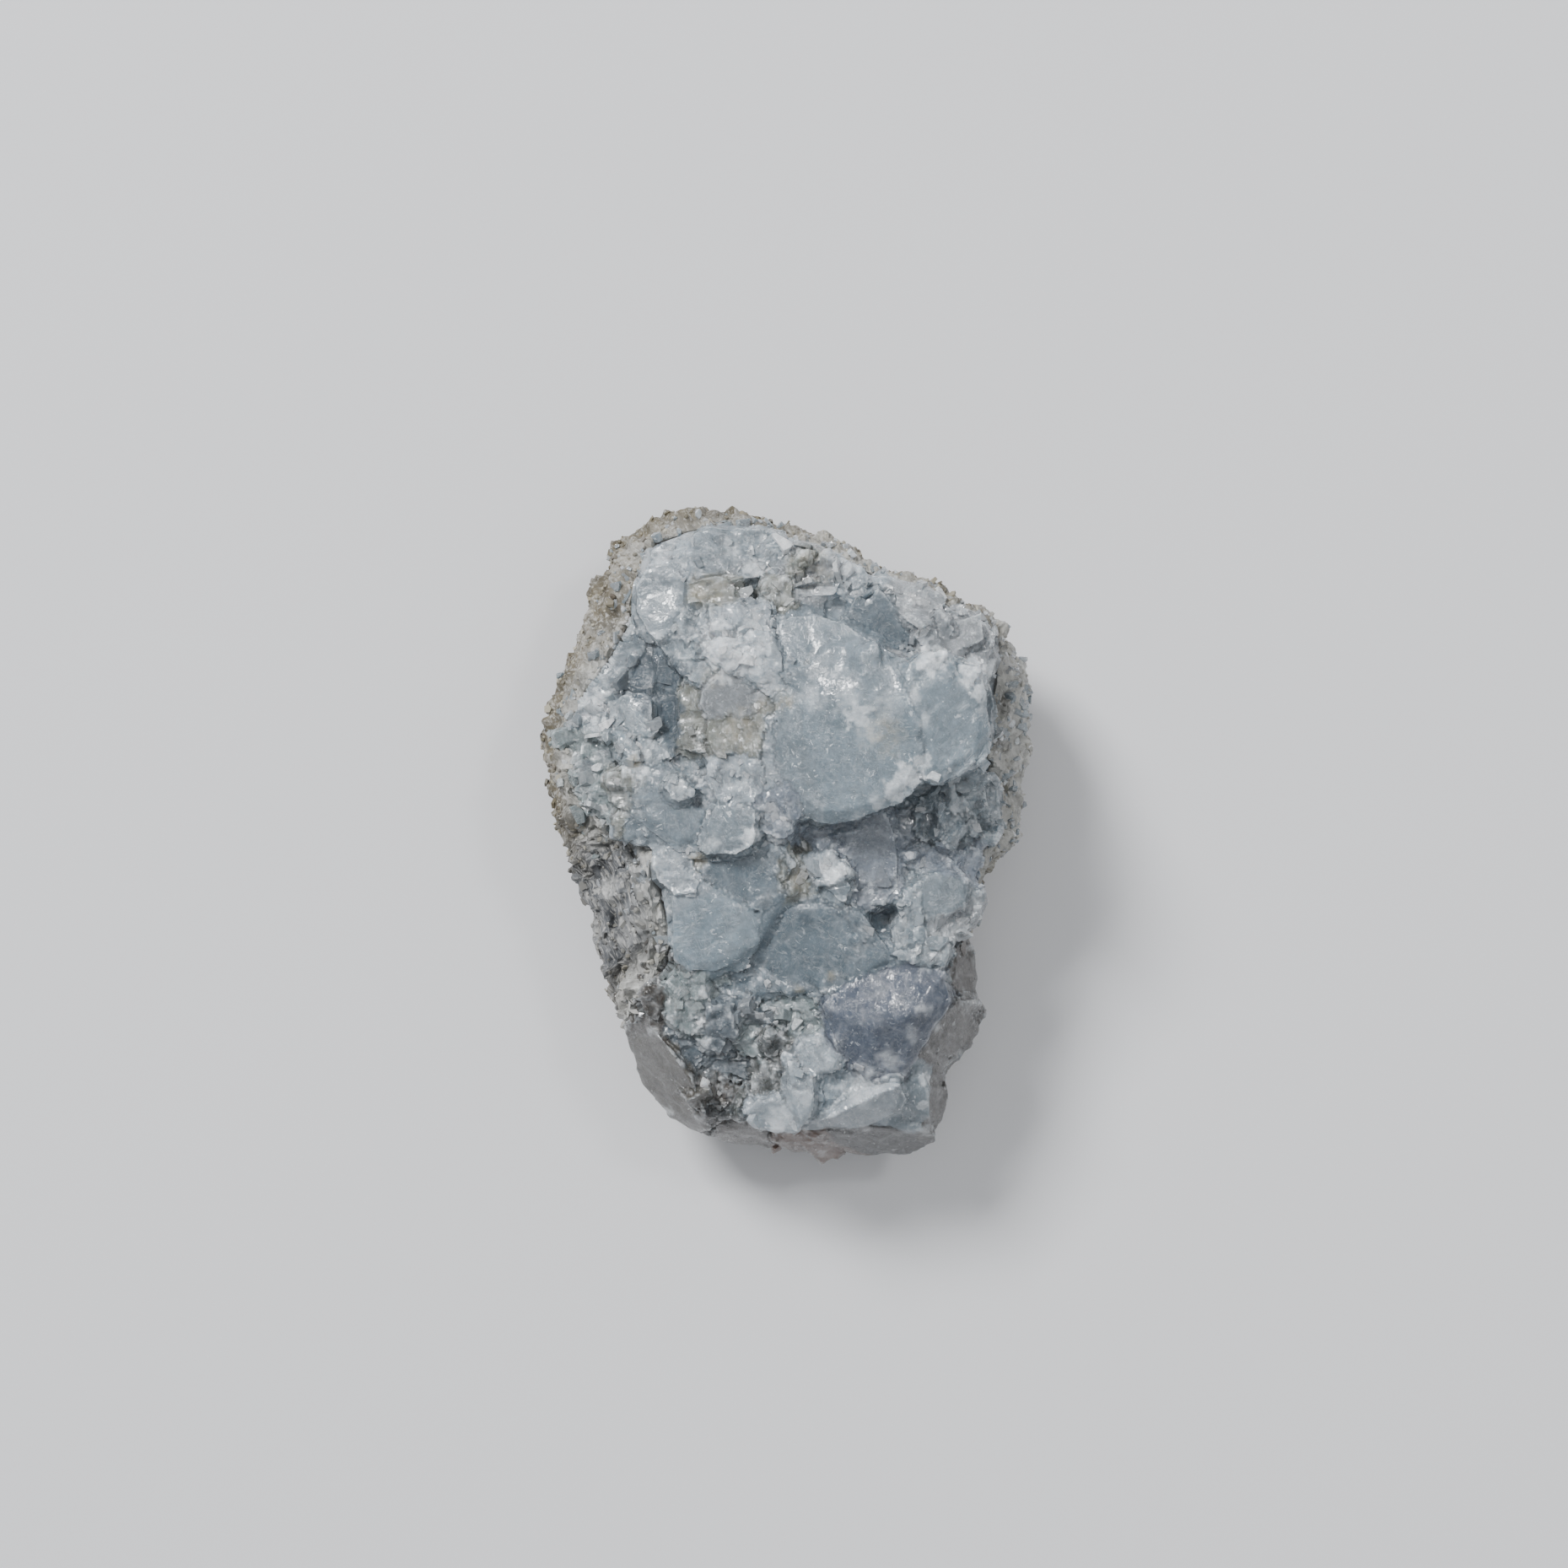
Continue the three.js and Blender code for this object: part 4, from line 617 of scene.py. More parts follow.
def blended(tree, share, one, other, blend="MIX"):
    """Two colours, blended by a share."""
    made = node(tree, "Mix", {0: share}, data_type="RGBA", blend_type=blend)
    for index, value in ((6, one), (7, other)):
        if isinstance(value, bpy.types.NodeSocket):
            tree.links.new(value, made.inputs[index])
        else:
            made.inputs[index].default_value = (*value, 1)
    return made.outputs[2]


def between(tree, value, low, high, to_low=0.0, to_high=1.0):
    """A number from one range brought to another, and held there."""
    made = node(
        tree, "MapRange",
        {"Value": value, "From Min": low, "From Max": high, "To Min": to_low, "To Max": to_high},
    )
    return made.outputs[0]


def painted(tree, name):
    """A number or colour that is stored on the mesh."""
    return node(tree, "Attribute", attribute_name=name)


def millimetres(tree, stretch=(1, 1, 1), turn=(0, 0, 0)):
    """Object coordinates in millimetres, turned and then stretched."""
    place = node(tree, "TexCoord").outputs["Object"]
    turned = node(tree, "Mapping", {"Vector": place, "Rotation": turn}).outputs[0]
    scale = tuple(share / MM for share in stretch)
    return node(tree, "Mapping", {"Vector": turned, "Scale": scale}).outputs[0]


def clouds(tree, place, size, detail=3.0, rough=0.55):
    """Soft noise with features of a given size in mm."""
    return node(
        tree, "TexNoise", {"Vector": place, "Scale": 1 / size, "Detail": detail, "Roughness": rough}
    ).outputs[0]


def tiny_facets(tree, place, size):
    """Tiny flat faces, each with its own slant: their height for a bump."""
    cells = node(tree, "TexVoronoi", {"Vector": place, "Scale": 1 / size})
    slant = node(tree, "VectorMath", {0: cells.outputs["Color"], 1: (0.5, 0.5, 0.5)}, operation="SUBTRACT")
    offset = node(tree, "VectorMath", {0: place, 1: cells.outputs["Position"]}, operation="SUBTRACT")
    product = node(tree, "VectorMath", {0: slant.outputs[0], 1: offset.outputs[0]}, operation="DOT_PRODUCT")
    return product.outputs["Value"]


def new_finish(name):
    finish = bpy.data.materials.new(name)
    finish.use_nodes = True
    tree = finish.node_tree
    tree.nodes.clear()
    surface = node(tree, "BsdfPrincipled")
    output = node(tree, "OutputMaterial", {"Surface": surface.outputs[0]})
    return finish, tree, surface, output


def scaled(tree, colour, share):
    """A colour made lighter or darker by a share."""
    return node(tree, "VectorMath", {0: colour, "Scale": share}, operation="SCALE").outputs[0]


def strokes(tree, place, stretch, size, low, high, curl):
    """Short fine strokes that run along a crystal's own directions: 1 on a stroke and 0 off it."""
    stretched = node(tree, "Mapping", {"Vector": place, "Scale": stretch}).outputs[0]
    waves = node(
        tree, "TexNoise", {"Vector": stretched, "Scale": 1 / size, "Detail": 2.0, "Roughness": 0.5, "Distortion": curl}
    )
    return between(tree, waves.outputs[0], low, high)


def feathers(tree, place, stretch, size, low, high):
    """Feathery curled plumes, as in a cloudy cleaved face: 1 on a plume and 0 off it."""
    stretched = node(tree, "Mapping", {"Vector": place, "Scale": stretch}).outputs[0]
    waves = node(
        tree, "TexNoise", {"Vector": stretched, "Scale": 1 / size, "Detail": 4.0, "Roughness": 0.7, "Distortion": 1.0}
    )
    return between(tree, waves.outputs[0], low, high)


def mosaic(tree, place, size):
    """Small patches with ragged borders: a number from 0 to 1 for each."""
    stretched = node(tree, "Mapping", {"Vector": place, "Scale": (1.5, 0.6, 1.3)}).outputs[0]
    waves = node(tree, "TexNoise", {"Vector": stretched, "Scale": 1 / 0.8, "Detail": 3.0, "Roughness": 0.6}).outputs[1]
    shift = node(tree, "VectorMath", {0: waves, 1: (0.5, 0.5, 0.5)}, operation="SUBTRACT").outputs[0]
    shift = node(tree, "VectorMath", {0: shift, "Scale": 1.2}, operation="SCALE").outputs[0]
    moved = node(tree, "VectorMath", {0: stretched, 1: shift}, operation="ADD").outputs[0]
    cells = node(tree, "TexVoronoi", {"Vector": moved, "Scale": 1 / size})
    return node(tree, "SeparateColor", {0: cells.outputs["Color"]}).outputs[0]


def celestite_finish(name, transmission, absorption, density, cloudy, light):
    """Blue-grey celestite: glassy where cleaved, white where scuffed and where highlights and glints are painted, and
    more or less cloudy.
    """
    finish, tree, surface, output = new_finish(name)
    place = millimetres(tree)
    own = painted(tree, "own_place").outputs["Vector"]
    tint = painted(tree, "tint").outputs["Color"]
    white = painted(tree, "white").outputs["Fac"]
    stain = painted(tree, "stain").outputs["Fac"]
    hackle = painted(tree, "hackle").outputs["Fac"]
    clear = painted(tree, "clear").outputs["Fac"]
    open_share = painted(tree, "open").outputs["Fac"]

    mottle = clouds(tree, place, 1.1, 9.0, 0.72)
    colour = scaled(tree, tint, between(tree, mottle, 0.3, 0.7, 0.74, 1.22))
    colour = scaled(tree, colour, between(tree, mosaic(tree, own, 0.5), 0.0, 1.0,
                                          between(tree, hackle, 0.0, 1.0, 0.93, 0.72),
                                          between(tree, hackle, 0.0, 1.0, 1.06, 1.28)))

    first = between(tree, clouds(tree, place, 1.4, 4.0, 0.6), 0.36, 0.62)
    plumes = feathers(tree, own, (1.6, 0.5, 1.3), 0.45, 0.48, 0.62)
    crossing = feathers(tree, own, (0.5, 1.7, 1.2), 0.36, 0.50, 0.64)
    traces = maths(tree, "MAXIMUM", maths(tree, "MULTIPLY", plumes, first), maths(tree, "MULTIPLY", crossing, 0.6))
    ragged = between(tree, clouds(tree, place, 0.45, 5.0, 0.75), 0.36, 0.60)
    frost_and_highlights = maths(tree, "MULTIPLY", white, between(tree, ragged, 0.0, 1.0, 0.55, 1.0))
    light_share = between(tree, node(tree, "RGBToBW", {"Color": tint}).outputs[0], 0.08, 0.45, 0.4, 1.0)
    share = maths(tree, "MULTIPLY", between(tree, hackle, 0.0, 1.0, 0.42, 0.78), light_share)
    share = maths(tree, "SUBTRACT", share, maths(tree, "MULTIPLY", clear, 0.15), True)
    frost_and_highlights = maths(tree, "MAXIMUM", frost_and_highlights, maths(tree, "MULTIPLY", traces, share), True)
    # Painted glints: short white strokes in the colour, clustered, and strongest where the tint is light.
    painted_glints = maths(tree, "MULTIPLY", strokes(tree, own, (1.6, 0.8, 1.2), 0.42, 0.62, 0.68, 0.8), light_share)
    clustered = between(tree, clouds(tree, place, 1.7, 3.0, 0.6), 0.44, 0.60, between(tree, hackle, 0.0, 1.0, 0.1, 0.7), 1.0)
    painted_glints = maths(tree, "MULTIPLY", painted_glints, clustered)
    frost_and_highlights = maths(tree, "MAXIMUM", frost_and_highlights, painted_glints, True)
    # Whitens the colour by frost, veils and scuffs, and by the painted highlights and painted glints.
    colour = blended(tree, maths(tree, "MULTIPLY", frost_and_highlights, 0.9), colour, linear((238, 243, 247)))
    darker = strokes(tree, own, (1.5, 0.7, 1.1), 0.5, 0.56, 0.68, 1.0)
    darker = maths(tree, "MULTIPLY", darker, between(tree, hackle, 0.0, 1.0, 0.15, 0.40))
    colour = blended(tree, darker, colour, linear((92, 102, 110)))

    dirt = maths(tree, "MULTIPLY", stain, between(tree, clouds(tree, place, 0.9, 5.0, 0.7), 0.35, 0.6))
    colour = blended(tree, dirt, colour, linear((172, 166, 146)))
    # Painted shade: darker where little of the space above is open, in clefts and hollows.
    colour = scaled(tree, colour, between(tree, open_share, 0.05, 0.4, 0.85, 1.0))

    facets = maths(tree, "ADD", tiny_facets(tree, own, 0.28), tiny_facets(tree, place, 0.6))
    relief = maths(tree, "ADD", maths(tree, "MULTIPLY", facets, between(tree, hackle, 0.0, 1.0, 0.06, 0.8)),
                   maths(tree, "MULTIPLY", traces, 0.03))
    bump = node(tree, "Bump", {"Height": relief, "Distance": MM * 0.8, "Strength": 0.8})
    cells = node(tree, "TexVoronoi", {"Vector": own, "Scale": 1 / 0.8, "Randomness": 1.0})
    chance = node(tree, "SeparateColor", {0: cells.outputs["Color"]}).outputs[0]
    gloss = between(tree, chance, 0.2, 0.8, 0.05, 0.22)
    rough = maths(tree, "ADD", gloss, maths(tree, "MULTIPLY", frost_and_highlights, 0.2))

    colour = node(tree, "Gamma", {"Color": colour, "Gamma": light}).outputs[0]
    tree.links.new(colour, surface.inputs["Base Color"])
    tree.links.new(rough, surface.inputs["Roughness"])
    tree.links.new(bump.outputs[0], surface.inputs["Normal"])
    tree.links.new(bump.outputs[0], surface.inputs["Coat Normal"])
    surface.inputs["Coat Weight"].default_value = 0.35
    surface.inputs["Coat Roughness"].default_value = 0.06
    surface.inputs["IOR"].default_value = 1.62
    see_through = between(tree, clear, 0.0, 1.0, transmission, 0.45)
    see_through = maths(tree, "MULTIPLY", see_through, between(tree, frost_and_highlights, 0.0, 1.0, 1.0, 0.2))
    tree.links.new(see_through, surface.inputs["Transmission Weight"])
    surface.inputs["Subsurface Weight"].default_value = cloudy
    surface.inputs["Subsurface Radius"].default_value = (0.35, 0.45, 0.5)
    surface.inputs["Subsurface Scale"].default_value = MM
    inside = node(tree, "VolumeAbsorption", {"Color": (*absorption, 1), "Density": density})
    tree.links.new(inside.outputs[0], output.inputs["Volume"])
    return finish


def rind_finish(name, bumpy):
    """Fine grey-beige rock with olive, brown and white grains, and fibrous in part."""
    finish, tree, surface, _ = new_finish(name)
    place = painted(tree, "own_place").outputs["Vector"]
    tint = painted(tree, "tint").outputs["Color"]
    white = painted(tree, "white").outputs["Fac"]
    open_share = painted(tree, "open").outputs["Fac"]
    cool = painted(tree, "cool").outputs["Fac"]
    mottle = clouds(tree, place, 0.8, 8.0, 0.75)
    colour = scaled(tree, tint, between(tree, mottle, 0.3, 0.7, 0.80, 1.20))
    colour = scaled(tree, colour, between(tree, mosaic(tree, place, 0.45), 0.0, 1.0, 0.78, 1.26))
    plumes = feathers(tree, place, (1.4, 0.7, 1.2), 0.4, 0.50, 0.64)
    colour = blended(tree, maths(tree, "MULTIPLY", plumes, 0.45), colour, linear((196, 195, 190)))
    for size, low, high, amount, shade in (
        (0.26, 0.56, 0.68, 0.65, (190, 189, 185)), (0.20, 0.62, 0.72, 0.6, (106, 103, 90)),
        (0.14, 0.68, 0.75, 0.7, (80, 72, 62)),
    ):
        specks = strokes(tree, place, (1.0, 0.8, 1.0), size, low, high, 0.8)
        share = maths(tree, "MULTIPLY", specks, between(tree, cool, 0.0, 1.0, amount, amount * (0.3 if low > 0.6 else 1)))
        colour = blended(tree, share, colour, linear(shade))
    dust = between(tree, clouds(tree, place, 0.4, 5.0, 0.75), 0.36, 0.62)
    colour = blended(tree, maths(tree, "MULTIPLY", white, dust), colour, linear((200, 200, 198)))
    # Painted shade: darker where little of the space above is open, in hollows and beside the crystals.
    colour = scaled(tree, colour, between(tree, open_share, 0.1, 0.55, 0.72, 1.0))
    relief = maths(tree, "ADD", tiny_facets(tree, place, 0.22),
                   maths(tree, "MULTIPLY", clouds(tree, place, 0.12, 3.0), 0.25))
    bump = node(tree, "Bump", {"Height": relief, "Distance": MM * 0.3, "Strength": bumpy})
    tree.links.new(colour, surface.inputs["Base Color"])
    rough = maths(tree, "SUBTRACT", between(tree, clouds(tree, place, 0.3), 0.3, 0.7, 0.45, 0.85),
                  maths(tree, "MULTIPLY", cool, 0.2))
    tree.links.new(rough, surface.inputs["Roughness"])
    tree.links.new(bump.outputs[0], surface.inputs["Normal"])
    return finish


# Pieces

def tint_sites(solid, tree, count):
    """Where each numbered crystal has which tint: the places that it lies under, or its neighbours' tint."""
    crystal = solid.faces.layers.int["crystal"]
    solid.faces.ensure_lookup_table()
    sites_of = {}
    known = []
    for tint, places in TINT_PLACES.items():
        for x, y in places:
            place, _, index, _ = tree.ray_cast(Vector((x, y, 60)), Vector((0, 0, -1)))
            if index is not None:
                sites_of.setdefault(solid.faces[index][crystal], []).append((place, tint))
                known.append((place, tint))
    middles = {}
    for face in solid.faces:
        total, area = middles.get(face[crystal], (Vector(), 0.0))
        size = face.calc_area()
        middles[face[crystal]] = (total + face.calc_center_median() * size, area + size)
    draw = random.Random(11)
    for number in range(count + 1):
        total, area = middles.get(number, (Vector(), 0.0))
        if number not in sites_of:
            middle = total / area if area else Vector()
            nearest = sorted(known, key=lambda site: (site[0] - middle).length)[:2]
            sites_of[number] = [(middle, draw.choice(nearest)[1])]
    return sites_of


def outwards(solid):
    """How far each point stands out from its neighbours, as a share of the edges' length."""
    places = np.array([vert.co for vert in solid.verts])
    normals = np.array([vert.normal for vert in solid.verts])
    pairs = np.array([(edge.verts[0].index, edge.verts[1].index) for edge in solid.edges])
    steps = places[pairs[:, 1]] - places[pairs[:, 0]]
    lengths = np.linalg.norm(steps, axis=1)
    total = np.zeros(len(places))
    length = np.zeros(len(places))
    for side, sign in ((0, -1.0), (1, 1.0)):
        own = pairs[:, side]
        np.add.at(total, own, sign * (steps * normals[own]).sum(axis=1))
        np.add.at(length, own, lengths)
    return total / np.maximum(length, 1e-6)


def softened(solid, values):
    """Each point's value, evened out with those of its neighbours."""
    pairs = np.array([(edge.verts[0].index, edge.verts[1].index) for edge in solid.edges])
    total = values.copy()
    count = np.ones(len(values))
    for side in (0, 1):
        np.add.at(total, pairs[:, side], values[pairs[:, 1 - side]])
        np.add.at(count, pairs[:, side], 1)
    return total / count


class Celestite:
    """The crystals' form: which crystal is nearest to a place, and its tint."""

    def __init__(self):
        self.form = solid_copy("celestite_crystals")
        self.count = number_crystals(self.form)
        self.tree = BVHTree.FromBMesh(self.form)
        crystal = self.form.faces.layers.int["crystal"]
        self.number_of = [face[crystal] for face in self.form.faces]
        draw = random.Random(5)
        self.sites_of = {
            number: [(place, tint, linear(TINTS[tint]) * draw.uniform(0.93, 1.07)) for place, tint in sites]
            for number, sites in sorted(tint_sites(self.form, self.tree, self.count).items())
        }
        self.lattice_of = {
            number: Euler([draw.uniform(0, math.pi) for _ in range(3)]).to_matrix() for number in range(self.count + 1)
        }

    def crystal_at(self, place):
        """The number of the crystal at a place, with ragged borders between crystals."""
        ragged = noise.noise_vector(place * 1.3) * 0.35 + noise.noise_vector(place * 4.1) * 0.12
        return self.number_of[self.tree.find_nearest(place + ragged)[2]]

    def tint_at(self, place, number):
        """The name and colour of a crystal's tint at a place."""
        _, tint, colour = min(self.sites_of[number], key=lambda site: (site[0] - place).length_squared)
        return tint, colour

    def own_place(self, place, number):
        """A place in the crystal's own directions, so that patterns follow its cleavage."""
        return self.lattice_of[number] @ place + Vector((number * 3.1, 0, 0))

    def colours(self, places):
        """The colour at each place: the crystals' tints run softly into each other."""
        result = np.zeros((len(places), 3))
        for step in range(TINT_SAMPLES):
            for index, place in enumerate(places):
                shifted = place + noise.noise_vector(place * 0.9 + Vector((step * 7.3, 0, 0))) * TINT_RUN
                result[index] += self.tint_at(shifted, self.crystal_at(shifted))[1]
        return result / TINT_SAMPLES


def surface_layers(places, normals, trees, colours, hackle, own_places, edges=None):
    """What the celestite's finish reads at each point."""
    up = np.clip(normals[:, 2] * 2 + 0.3, 0, 1)
    dark = marks(places, DARK_SPOTS_AND_SHADE, up)
    chips = np.array([noise.noise(Vector(place) * 1.7) for place in places])
    white = marks(places, WHITE_SCUFFS_AND_HIGHLIGHTS, up)
    white = np.maximum(white, hackle * np.clip(chips * 1.3 - 0.1, 0, 0.5))
    if edges is not None:
        white = np.maximum(white, np.clip(edges, 0, 0.9) * np.clip(0.75 + chips, 0, 1))
    slate = marks(places, SLATE_AND_SHADE_MARKS, up)[:, None]
    colours = colours * (1 - slate) + linear(TINTS["slate"]) * slate
    return {
        "tint": colours * (1 - 0.6 * dark)[:, None],
        "white": white * (1 - dark) * (1 - 0.7 * slate[:, 0]),
        "stain": marks(places, STAIN_MARKS, up),
        "hackle": hackle,
        "own_place": own_places,
        "open": open_sky([Vector(place) for place in places], [Vector(normal) for normal in normals], trees),
    }


def clear_share(celestite, places):
    """How glassy the celestite is at each place: 1 in the clear shards and 0 in the cloudy crystals."""
    result = np.zeros(len(places))
    for step in range(TINT_SAMPLES):
        for index, place in enumerate(places):
            shifted = place + noise.noise_vector(place * 0.9 + Vector((step * 7.3, 0, 0))) * TINT_RUN
            result[index] += celestite.tint_at(shifted, celestite.crystal_at(shifted))[0] in CLEAR_TINTS
    return result / TINT_SAMPLES


def celestite_mass(celestite, rind_tree, finishes):
    """The crystals, grown together, with broken, stepped and cleaved faces."""
    solid = blended_shapes(evened(filled(celestite.form.copy()), CRYSTAL_EDGE, CLEFT))
    solid = thinned(solid, rind_tree)
    solid.normal_update()
    ridges = softened(solid, outwards(solid))
    hackles = []
    walls = []
    own_places = []
    hidden = []
    for vert in solid.verts:
        place = vert.co.copy()
        number = celestite.crystal_at(place)
        own_places.append(celestite.own_place(place, number))
        _, normal, _, distance = rind_tree.find_nearest(place)
        crust = in_circles(place.x, place.y, CRUSTS)
        cleaved = in_circles(place.x, place.y, CLEAVED, 0.25)
        wall = max(0.0, min(1.0, 1.1 - vert.normal.z * 1.5))
        rough = 0.42 + 0.30 * crust - 0.6 * cleaved * (1 - 0.8 * wall) + noise.noise(place * 0.8) * 0.25
        walls.append(wall)
        hackles.append(min(1.0, max(0.04, rough)))
        hidden.append(distance < CONTACT and vert.normal.dot(normal) < -0.3)
    hackle = np.array(hackles)
    stretched = np.array(own_places) * (1.0, 0.6, 1.3)
    large, large_tone, large_border = plates(stretched, 1.9, 1, 0.42, 0.08)
    small, small_tone, small_border = plates(stretched, 1.05, 20, 0.50, 0.05)
    waves = np.array([noise.noise(vert.co * 0.45) for vert in solid.verts])
    lifts = waves * 0.10 + large * (0.06 + 0.94 * hackle) * 0.8 + small * hackle
    borders = np.maximum(large_border ** 2 * (0.2 + hackle), small_border ** 2 * hackle) * 0.9
    lifts = np.where(hidden, CONTACT_CLOSE, lifts)
    for vert, lift in zip(solid.verts, lifts):
        vert.co += vert.normal * lift
    solid.normal_update()
    solid.verts.index_update()

    places = np.array([vert.co for vert in solid.verts])
    normals = np.array([vert.normal for vert in solid.verts])
    tree = BVHTree.FromBMesh(solid)
    tone = large_tone * (0.04 + 0.08 * hackle) + small_tone * 0.12 * hackle
    colours = celestite.colours([vert.co.copy() for vert in solid.verts])
    clear = clear_share(celestite, [vert.co.copy() for vert in solid.verts])
    side = (clear * np.array(walls))[:, None] * SIDE_SHARE
    colours = (colours * (1 - side) + linear(SIDE_TINT) * side) * (1 + tone)[:, None]
    layers = surface_layers(
        places, normals, [tree, rind_tree], colours, hackle,
        np.array(own_places), np.maximum(np.maximum(ridges * 5 - 0.3, outwards(solid) * 3.5 - 0.3), borders),
    )
    layers["clear"] = clear * (1 - SIDE_SHARE * np.array(walls))
    rough_faces = solid.copy()
    piece = finished_piece("crystal_mass", solid, finishes, math.radians(20), layers)
    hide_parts("celestite_crystals")
    return rough_faces, tree, layers["open"]


def small_crystals(name, celestite, plan, trees, finishes):
    """One mesh of small crystals. Each entry of the plan is (shape, spot, number, matrix, light)."""
    shapes = [flake(random.Random(index), 3 + index % 3) for index in range(8)]
    shapes += [chip(random.Random(index), 2 + index % 3) for index in range(8)]
    heap, counts = scattered(shapes, [(shape, matrix) for shape, _, _, matrix, _ in plan])
    heap.verts.index_update()
    heap.normal_update()
    print(name, len(counts), "faces", len(heap.faces))
    draw = random.Random(len(plan))
    own = celestite.colours([spot for _, spot, _, _, _ in plan])
    own *= np.array([light for _, _, _, _, light in plan])[:, None]
    own_places = [
        celestite.own_place(place.co, number)
        for place, number in zip(heap.verts, np.repeat([number for _, _, number, _, _ in plan], counts))
    ]
    points = np.array([vert.co for vert in heap.verts])
    normals = np.array([vert.normal for vert in heap.verts])
    layers = surface_layers(
        points, normals, trees, np.repeat(own, counts, axis=0), np.full(len(points), 0.35), np.array(own_places),
    )
    # Some flakes are painted white: frosted flakes, and painted glints.
    white_and_glint_flakes = np.repeat([1.0 if draw.random() < 0.08 else draw.random() ** 2 * 0.7 for _ in plan], counts)
    layers["white"] = np.maximum(layers["white"], white_and_glint_flakes)
    layers["clear"] = np.full(len(points), 0.3)
    return finished_piece(name, heap, finishes, math.radians(20), layers)


def crust_crystals(celestite, mass, trees, open_share, finishes):
    """Flakes that follow the cleavage, and small broken crystals on the crusts and in the clefts."""
    draw = random.Random(23)

    def bare(place, face):
        return open_share[face.verts[0].index] < 0.05 or face.calc_area() > 0.2

    def flaky(place, face):
        cleaved = in_circles(place.x, place.y, CLEAVED, 0.25)
        crust = in_circles(place.x, place.y, CRUSTS)
        patch = max(0.0, noise.noise(place * 0.6) - 0.1) * 0.5
        return 0.0 if bare(place, face) else (0.03 + 0.36 * crust + patch) * (1 - cleaved) ** 2

    def bitty(place, face):
        cleaved = in_circles(place.x, place.y, CLEAVED, 0.25)
        deep = max(0.0, 0.55 - open_share[face.verts[0].index]) * 1.6
        patch = max(0.0, noise.noise(place * 0.9) - 0.1) * 0.8
        return 0.0 if bare(place, face) else (0.02 + deep + patch) * (1 - cleaved) ** 2

    plan = []
    for spot, normal, _ in spots(mass, FLAKE_TRIES, draw, flaky):
        number = celestite.crystal_at(spot)
        size = min(1.6, 0.38 + draw.expovariate(1 / 0.3))
        matrix = laid_on(spot, normal, celestite.lattice_of[number], size, 0.25, draw)
        plan.append((draw.randrange(8), spot, number, matrix, draw.uniform(0.85, 1.25)))
    for spot, normal, _ in spots(mass, BIT_TRIES, draw, bitty):
        size = min(1.2, 0.26 + draw.expovariate(1 / 0.2))
        matrix = set_on(spot, normal, size, 0.5, 0.35, draw)
        plan.append((8 + draw.randrange(8), spot, celestite.crystal_at(spot), matrix, draw.uniform(0.9, 1.3)))
    return small_crystals("crust_crystals", celestite, plan, trees, finishes)


def strewn_crystals(celestite, rock, trees, finishes):
    """Flakes and bits of celestite that run out over the rind."""
    draw = random.Random(57)

    def wanted(place, face):
        if place.z < 2.0 or face.calc_area() > 0.2 or face.normal.z < -0.2:
            return 0.0
        distance = celestite.tree.find_nearest(place)[3]
        patch = max(0.0, noise.noise(place * 0.5) * 0.5)
        right = max(0.0, min(0.5, (place.x - 12) * 0.3))
        return max(0.0, 1.0 - distance * 0.4) + patch + right

    plan = []
    for spot, normal, _ in spots(rock, RIND_FLAKE_TRIES, draw, wanted):
        number = celestite.crystal_at(spot)
        size = min(1.3, 0.3 + draw.expovariate(1 / 0.25))
        if draw.random() < 0.6:
            matrix = laid_on(spot, normal, celestite.lattice_of[number], size, 0.25, draw)
            plan.append((draw.randrange(8), spot, number, matrix, draw.uniform(0.85, 1.2)))
        else:
            matrix = set_on(spot, normal, size * 0.6, 0.5, 0.35, draw)
            plan.append((8 + draw.randrange(8), spot, number, matrix, draw.uniform(0.85, 1.25)))
    return small_crystals("strewn_crystals", celestite, plan, trees, finishes)


